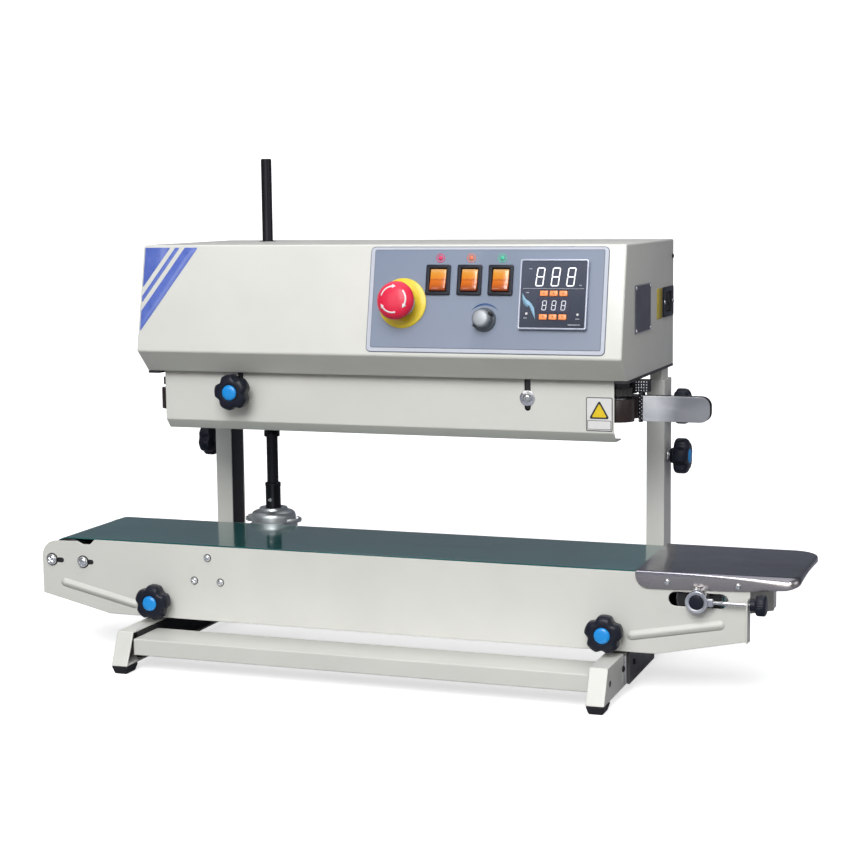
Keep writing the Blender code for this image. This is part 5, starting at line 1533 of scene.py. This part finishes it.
def shaded_tray():
    """The tray's own steel: painted dark reflection over its top, deepest towards its front right corner, and a
    painted warm reflection on its rolled lip.
    """
    m = TRAY.copy()
    m.name = "mat_tray_sheet"
    nt_ = m.node_tree
    b_ = nt_.nodes["Principled BSDF"]
    link = b_.inputs["Base Color"].links[0]
    src = link.from_socket
    nt_.links.remove(link)
    v_ = coords(nt_)
    sp_ = nt_.nodes.new("ShaderNodeSeparateXYZ")
    nt_.links.new(v_, sp_.inputs[0])
    fx = maprange(nt_, sp_.outputs[0], 0.0, 1.0, 0.33, 0.44)
    fy = maprange(nt_, sp_.outputs[1], 1.0, 0.15, -0.088, 0.05)
    top = maprange(nt_, sp_.outputs[2], 0.0, 1.0, TZ * MM - 0.006, TZ * MM - 0.0003)
    fac = math_node(nt_, 'MULTIPLY', math_node(nt_, 'MULTIPLY', fx, fy), top)
    fac = math_node(nt_, 'ADD', math_node(nt_, 'MULTIPLY', top, 0.40), math_node(nt_, 'MULTIPLY', fac, 0.34))
    cloud = maprange(nt_, noise(nt_, coords(nt_, (5, 16, 16)), 1.0, 3.0), 0.75, 1.25, 0.3, 0.7)
    fac = math_node(nt_, 'MULTIPLY', fac, cloud)
    # top mixed towards dark blue-grey: painted dark reflection, patchy through noise
    col_ = mix_rgb(nt_, fac, src, (0.055, 0.05, 0.075))
    lip = math_node(nt_, 'SUBTRACT', 1.0, top)
    # rolled lip mixed towards a warm grey: painted warm reflection
    col_ = mix_rgb(nt_, math_node(nt_, 'MULTIPLY', lip, 0.65), col_, (0.40, 0.355, 0.315))
    nt_.links.new(col_, b_.inputs["Base Color"])
    rl = b_.inputs["Roughness"].links[0]
    rs = rl.from_socket
    nt_.links.remove(rl)
    nt_.links.new(math_node(nt_, 'ADD', rs, math_node(nt_, 'MULTIPLY', lip, 0.10)),
                  b_.inputs["Roughness"])
    return m


tray = put("tray_sheet", tray_mesh(), shaded_tray(), IDENT, "conveyor", 40)
sol = tray.modifiers.new("sheet", 'SOLIDIFY')
sol.thickness = 1.0 * MM
sol.offset = -1.0
be = tray.modifiers.new("edges", 'BEVEL')
be.width = 0.3 * MM
be.segments = 2
be.limit_method = 'ANGLE'
be.angle_limit = rad(50)
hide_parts("infeed_tray")
for i, (x, z) in enumerate(((319.5, 122.3), (390.9, 122.1))):
    screw("tray_screw_%d" % (i + 1), "pan", 3.3, 1.7, at(x, -TY, z, ROT_FRONT), "conveyor", 20 * i)
    screw("tray_screw_rear_%d" % (i + 1), "pan", 3.6, 1.9, at(x, TY, z, ROT_BACK), "conveyor", 50 * i)

# =============================================================== bevel gear box
GX0, GY0 = DRV_X, SHY
case = put("gear_case", block_mesh("gear_case", (44, 47.2, 50), 2.2, 4), CAST,
           at(GX0, (74.4 + 121.6) / 2, 105.0), None, 40)
apply_boolean(case, [tool(block_mesh("t", (37, 47.2, 37), 0), at(GX0, 74.0 + 21.0, 101.0)),
                     tool(lathe_mesh("t", [(0, 40), (9.4, 40), (9.4, -40), (0, -40)], 48),
                          at(GX0, GY0, 110.0)),
                     tool(lathe_mesh("t", [(0, 40), (17.0, 40), (17.0, -40), (0, -40)], 48),
                          at(GX0, 74.0, DRV_Z, ROT_BACK))])
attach(case, "conveyor")
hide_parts("gearbox_housing")
lathe("bearing_dome", [(26.2, 129.8), (26.4, 136.0), (26.0, 138.4), (24.8, 140.6), (22.6, 142.2),
                       (19.6, 143.0), (17.4, 143.4), (16.9, 144.0), (16.7, 145.8), (16.1, 146.6),
                       (12.2, 146.8), (10.4, 146.4), (9.6, 145.6), (9.6, 129.8)], CAST,
      at(GX0, GY0, 0), "conveyor", 80, closed=True)
lathe("bearing_seal", [(9.5, 145.4), (12.4, 145.4), (12.4, 144.8), (9.5, 144.8)], BLACK_MATT,
      at(GX0, GY0, 0), "conveyor", 64, closed=True)
plate("bearing_flange", [slot(-35, 35, 0, 13, 16), circle(0, 0, 9.7, 40)[::-1]], 4.6, CAST,
      at(GX0, GY0, 132.2), "conveyor", 1.0, 4)
for i, s in enumerate((-1, 1)):
    screw("flange_bolt_%d" % (i + 1), "hex", 2.8, 2.2, at(GX0 + s * 30.4, GY0, 134.4), "conveyor",
          17 * i)

# drive shaft: black, with a keyway and a loose collar
shaft = lathe("shaft_turned", [(0, 555.0), (5.1, 555.0), (6.1, 554.0), (6.1, 345.0), (6.7, 343.0),
                               (6.7, 176.8), (8.8, 176.0), (9.3, 175.4), (9.3, 172.0), (8.9, 171.2),
                               (8.9, 118.6), (15.4, 117.6),
                               (15.6, 116.2), (8.6, 109.2), (0, 109.0)], DARK_STEEL,
              at(GX0, GY0, 0), None, 64)
apply_boolean(shaft, [tool(block_mesh("t", (4.0, 3.2, 230), 0), at(GX0 + 5.2, GY0 - 4.2, 545, 
                                                                Matrix.Rotation(rad(51), 4, 'Z')))])
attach(shaft, "shaft")
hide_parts("drive_shaft")
screw("shaft_set_screw", "socket", 2.2, 1.2, at(GX0, GY0 - 8.7, 156, ROT_FRONT), "shaft")
hub = lathe("hub_turned", [(24, 336.4), (24, 330.6), (23.4, 330), (10.2, 329.6), (9.2, 328.4),
                           (8.5, 300), (8.5, 238.5), (9.3, 237.3), (9.3, 231.6), (8.8, 231.0),
                           (7.4, 231.0), (7.1, 231.4), (7.1, 336.4)], DARK_STEEL,
            at(GX0, GY0, 0), "hub", 64, closed=True)
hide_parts("drive_hub")

# =============================================================== band line under the head
WX, WY = 254.0, 17.9
for s, end in ((-1, "outfeed"), (1, "infeed")):
    for f, row in ((-1, "front"), (1, "rear")):
        w = lathe("wheel_%s_%s_turned" % (row, end),
                  [(0, 338), (4.6, 338), (5.0, 337.6), (5.0, 301.2), (8.2, 301.0), (9.0, 300.2),
                   (9.0, 299.6), (15.6, 299.4), (16.4, 298.8), (16.5, 288), (16.4, 277.4),
                   (15.6, 276.8), (8.0, 276.8), (7.4, 277.6), (4.0, 277.6), (3.6, 276.4), (0, 276.4)],
                  STEEL, at(s * WX, f * WY, 0), "wheel_%s_%s" % (row, end), 64)
        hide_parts("band_wheel_%s_%s" % (row, end))
for f, row in ((-1, "front"), (1, "rear")):
    lp = [(-WX, f * WY, 16.85), (WX, f * WY, 16.85)]
    b_ = put("band_loop_" + row, outline_mesh("band_loop", [belt_path(lp, 0.7, 48),
                                                            belt_path(lp, 0.02, 48)], 23.0, 0.1, 1),
             BAND, at(0, 0, 288.0), "head", 40)
    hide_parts("seal_band_" + row)
    dress("heater_block_" + row, BRASS, 0.8)
    y0, y1 = sorted((f * 1.6, f * 26.0))
    # finned cooling block, spring posts, and rubber-tyred press wheels inside the loop
    block("cooling_block_" + row, (-40, y0, 279), (35, y1, 297), CAST, "head", 0.8, 2)
    for i in range(6):
        block("cooling_fin_%s_%d" % (row, i + 1), (-36 + i * 13, min(f * 3, f * 25), 296.5),
              (-29 + i * 13, max(f * 3, f * 25), 306), CAST, "head", 0.5, 2)
    for i, x in enumerate((-110, -150)):
        lathe("press_wheel_%s_%d" % (row, i + 1),
              [(5, 312), (5, 299), (12.6, 299), (13.6, 298), (13.7, 288), (13.6, 279), (12.6, 278),
               (0, 278), (0, 312)], RUBBER, at(x, f * 15.4, 0), "head", 48)
    for i, x in enumerate((-30, 20, 84, 136)):
        lathe("spring_post_%s_%d" % (row, i + 1), [(0, 318), (3, 318), (3, 296), (0, 296)], ZINC,
              at(x, f * 14, 0), "head", 24)
    # journal housings of the wheel spindles, under the chassis plate
    for s, end in ((-1, "outfeed"), (1, "infeed")):
        lathe("spindle_housing_%s_%s" % (row, end),
              [(5.3, 302.2), (11.8, 302.2), (12.4, 303.0), (12.4, 317.9), (5.3, 317.9)], BLACK_PAINT,
              at(s * WX, f * WY, 0), "head", 48, closed=True)

# toothed draw belts above the seal bands
for f, row in ((-1, "front"), (1, "rear")):
    core = [(-WX, f * WY, 13.0), (WX, f * WY, 13.0)]
    inner, outer = belt_path(core, 0.0, 60), []
    run = 0.0
    base = belt_path(core, 1.4, 60)
    dense = []
    for i in range(len(base)):
        (xa, ya), (xb, yb) = base[i], base[(i + 1) % len(base)]
        steps = max(1, int(math.hypot(xb - xa, yb - ya) / 0.75))
        dense += [(xa + (xb - xa) * k / steps, ya + (yb - ya) * k / steps) for k in range(steps)]
    for i in range(len(dense)):
        (xa, ya), (xb, yb) = dense[i - 1], dense[(i + 1) % len(dense)]
        length = math.hypot(xb - xa, yb - ya)
        run += math.hypot(dense[i][0] - xa, dense[i][1] - ya)
        up_ = 0.9 if (run % 5.0) < 2.6 else 0.0
        nx_, ny_ = (yb - ya) / length, -(xb - xa) / length
        outer.append((dense[i][0] + nx_ * up_, dense[i][1] + ny_ * up_))
    put("draw_belt_" + row, outline_mesh("draw_belt", [outer, inner], 8.0, 0.0), RUBBER_BELT,
        at(0, 0, 307.4), "head", 40)

GUIDE_LO, GUIDE_HI = mm_box("infeed_guide")


def shaded_guide():
    """The guide's own steel with a painted reflection: bright along its straight part, duller towards its round
    end.
    """
    m = GUIDE.copy()
    m.name = "mat_guide_sheet"
    nt_ = m.node_tree
    b_ = nt_.nodes["Principled BSDF"]
    link = b_.inputs["Base Color"].links[0]
    src = link.from_socket
    nt_.links.remove(link)
    sp_ = nt_.nodes.new("ShaderNodeSeparateXYZ")
    nt_.links.new(coords(nt_), sp_.inputs[0])
    wave = maprange(nt_, noise(nt_, coords(nt_, (30, 30, 30)), 1.0, 3.0), -0.006, 0.006, 0.3, 0.7)
    place = math_node(nt_, 'ADD', sp_.outputs[0], wave)
    # darker towards the round end: painted reflection
    fac = maprange(nt_, place, 0.0, 1.0, -0.020, 0.004)
    nt_.links.new(mix_rgb(nt_, fac, src, (0.33, 0.335, 0.35)), b_.inputs["Base Color"])
    return m


GUIDE_SHEET = shaded_guide()
for f, row in ((-1, "front"), (1, "rear")):
    y_in, y_out = f * 5.0, f * 6.2
    gl = rounded([(277.6 - 312.0, -13.3), (348.0 - 312.0, -13.3), (348.0 - 312.0, 13.3),
                  (277.6 - 312.0, 13.3)], [0.5, 10, 10, 0.5], 8)
    me = outline_mesh("guide_plate", [gl], 1.1, 0.25, 2)
    # the rear plate's inner face sits in shadow: dark steel on it is painted shade
    g = put("guide_plate_" + row, me, GUIDE_SHEET if f < 0 else DARK_STEEL, at(312.0, f * 5.0, 288.7, ROT_FRONT),
            "head", 12)
    if f < 0:
        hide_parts("infeed_guide")
    block("guide_stem_" + row, (273.3, min(f * 4.4, f * 6.0), 274.4),
          (277.9, max(f * 4.4, f * 6.0), 318), DARK_STEEL, "head", 0.3, 2)
    for i in range(11):
        for j in range(2):
            lathe("guide_stud_%s_%d_%d" % (row, i + 1, j + 1), [(0, 0.6), (0.5, 0.5), (0.8, 0.0), (0, 0)],
                  ZINC, at(274.6 + 2.1 * j, f * 6.0, 276.6 + 3.9 * i + 1.9 * j,
                           ROT_FRONT if f < 0 else ROT_BACK), "head", 12)

# studded foot that carries the guide's stems
block("guide_foot", (269.2, -6.9, 305.6), (283.8, 6.9, 318.4), BLACK_MATT, "head", 0.5, 3)
for i in range(5):
    for j in range(4):
        lathe("guide_foot_stud_%d_%d" % (i + 1, j + 1), [(0, 0.9), (0.7, 0.75), (1.1, 0.0), (0, 0)],
              CHROME, at(270.9 + 2.8 * i, -6.9, 307.6 + 2.9 * j, ROT_FRONT), "head", 14)

# =============================================================== hidden drive inside the cover
dress("drive_motor", DARK_STEEL, 1.0, 2)

# =============================================================== stage, light and camera
floor_mat, nt, b = new_mat("mat_floor")
v = coords(nt)
n = noise(nt, v, 1.2, 3.0)
col = ramp(nt, n, [(0.3, (0.90, 0.90, 0.90)), (0.7, (0.93, 0.93, 0.93))])
nt.links.new(col, b.inputs["Base Color"])
b.inputs["Roughness"].default_value = 0.7
b.inputs["Specular IOR Level"].default_value = 0.2
lp_ = nt.nodes.new("ShaderNodeLightPath")
bounce = mix_rgb(nt, lp_.outputs["Is Glossy Ray"], (0.105, 0.099, 0.089), (0.355, 0.375, 0.43))
seen = mix_rgb(nt, lp_.outputs["Is Camera Ray"], bounce, col)
nt.links.new(seen, b.inputs["Base Color"])
b.inputs["Emission Color"].default_value = (1, 1, 1, 1)
geo = nt.nodes.new("ShaderNodeNewGeometry")
far = nt.nodes.new("ShaderNodeVectorMath")
far.operation = 'LENGTH'
nt.links.new(geo.outputs["Position"], far.inputs[0])
glow = maprange(nt, far.outputs["Value"], 0.66, 1.0, 0.8, 2.2)
nt.links.new(math_node(nt, 'MULTIPLY', lp_.outputs["Is Camera Ray"], glow),
             b.inputs["Emission Strength"])
bm = bmesh.new()
sweep_path = [(-12.0, 0.0), (2.2, 0.0)]
sweep_path += [(2.2 + 1.0 * math.sin(rad(a)), 1.0 - 1.0 * math.cos(rad(a))) for a in range(6, 91, 6)]
sweep_path += [(3.2, 4.0)]
rows = [[bm.verts.new((x, y, z - 0.0002)) for y, z in sweep_path] for x in (-12.0, 12.0)]
for i in range(len(sweep_path) - 1):
    bm.faces.new((rows[0][i], rows[1][i], rows[1][i + 1], rows[0][i + 1]))
me = bpy.data.meshes.new("studio_sweep")
bm.to_mesh(me)
bm.free()
me.materials.append(floor_mat)
me.shade_smooth()
floor = bpy.data.objects.new("studio_sweep", me)
scene.collection.objects.link(floor)


def area(name, loc, target, size, power, color=(1, 1, 1), size_y=None):
    li = bpy.data.lights.new(name, 'AREA')
    li.energy = power
    li.color = color
    li.shape = 'RECTANGLE'
    li.size = size
    li.size_y = size_y or size
    ob = bpy.data.objects.new(name, li)
    scene.collection.objects.link(ob)
    ob.location = loc
    d = Vector(target) - Vector(loc)
    ob.rotation_euler = d.to_track_quat('-Z', 'Y').to_euler()
    return ob


area("key_front", (0.34, -2.43, 1.97), (0, 0, 0.25), 1.5, 65)
area("low_front", (0.5, -2.8, 0.9), (0, 0, 0.25), 1.4, 6)
area("strip_left", (-1.05, -2.6, 1.2), (0, 0, 0.2), 0.5, 5, size_y=1.0)
area("top_soft", (-0.2, 0.3, 2.2), (0, 0.1, 0.2), 2.4, 20)
area("fill_right", (2.2, -0.6, 1.1), (0, 0, 0.25), 1.2, 6)
world = bpy.data.worlds.new("studio")
scene.world = world
world.use_nodes = True
wn = world.node_tree
bg = wn.nodes["Background"]
tc = wn.nodes.new("ShaderNodeTexCoord")
sp = wn.nodes.new("ShaderNodeSeparateXYZ")
wn.links.new(tc.outputs["Generated"], sp.inputs[0])
mr = wn.nodes.new("ShaderNodeMapRange")
mr.inputs["From Min"].default_value = -0.3
mr.inputs["From Max"].default_value = 0.8
mr.inputs["To Min"].default_value = 0.75
mr.inputs["To Max"].default_value = 1.05
wn.links.new(sp.outputs[2], mr.inputs["Value"])
cb = wn.nodes.new("ShaderNodeCombineColor")
for k in range(3):
    wn.links.new(mr.outputs["Result"], cb.inputs[k])
wl = wn.nodes.new("ShaderNodeLightPath")
wm = wn.nodes.new("ShaderNodeMix")
wm.data_type = 'RGBA'
wm.inputs[7].default_value = (1.0, 1.0, 1.0, 1.0)
wt = wn.nodes.new("ShaderNodeMix")
wt.data_type = 'RGBA'
wt.blend_type = 'MULTIPLY'
wt.inputs[0].default_value = 1.0
wt.inputs[7].default_value = (0.26, 0.265, 0.28, 1.0)
wn.links.new(cb.outputs[0], wt.inputs[6])
wn.links.new(wl.outputs["Is Camera Ray"], wm.inputs[0])
wn.links.new(wt.outputs[2], wm.inputs[6])
wn.links.new(wm.outputs[2], bg.inputs["Color"])
bg.inputs["Strength"].default_value = 1.0
scene.view_settings.view_transform = 'Standard'

cam_data = bpy.data.cameras.new("camera")
cam = bpy.data.objects.new("camera", cam_data)
scene.collection.objects.link(cam)
yaw, pitch, roll = rad(19.94), rad(6.97), rad(-0.647)
forward = Vector((-math.sin(yaw) * math.cos(pitch), math.cos(yaw) * math.cos(pitch),
                  -math.sin(pitch)))
right0 = Vector((math.cos(yaw), math.sin(yaw), 0))
up0 = right0.cross(forward)
right = math.cos(roll) * right0 + math.sin(roll) * up0
up = -math.sin(roll) * right0 + math.cos(roll) * up0
m3 = Matrix((right, up, -forward)).transposed()
cam.matrix_world = Matrix.Translation(MID + Vector((0.7128, -1.8692, 0.5075))) @ m3.to_4x4()
cam_data.sensor_width = 36.0
cam_data.lens = 78.15
cam_data.shift_x = (425.0 - 424.3) / 850
cam_data.shift_y = (423.9 - 425.0) / 850
cam_data.clip_end = 50
scene.camera = cam
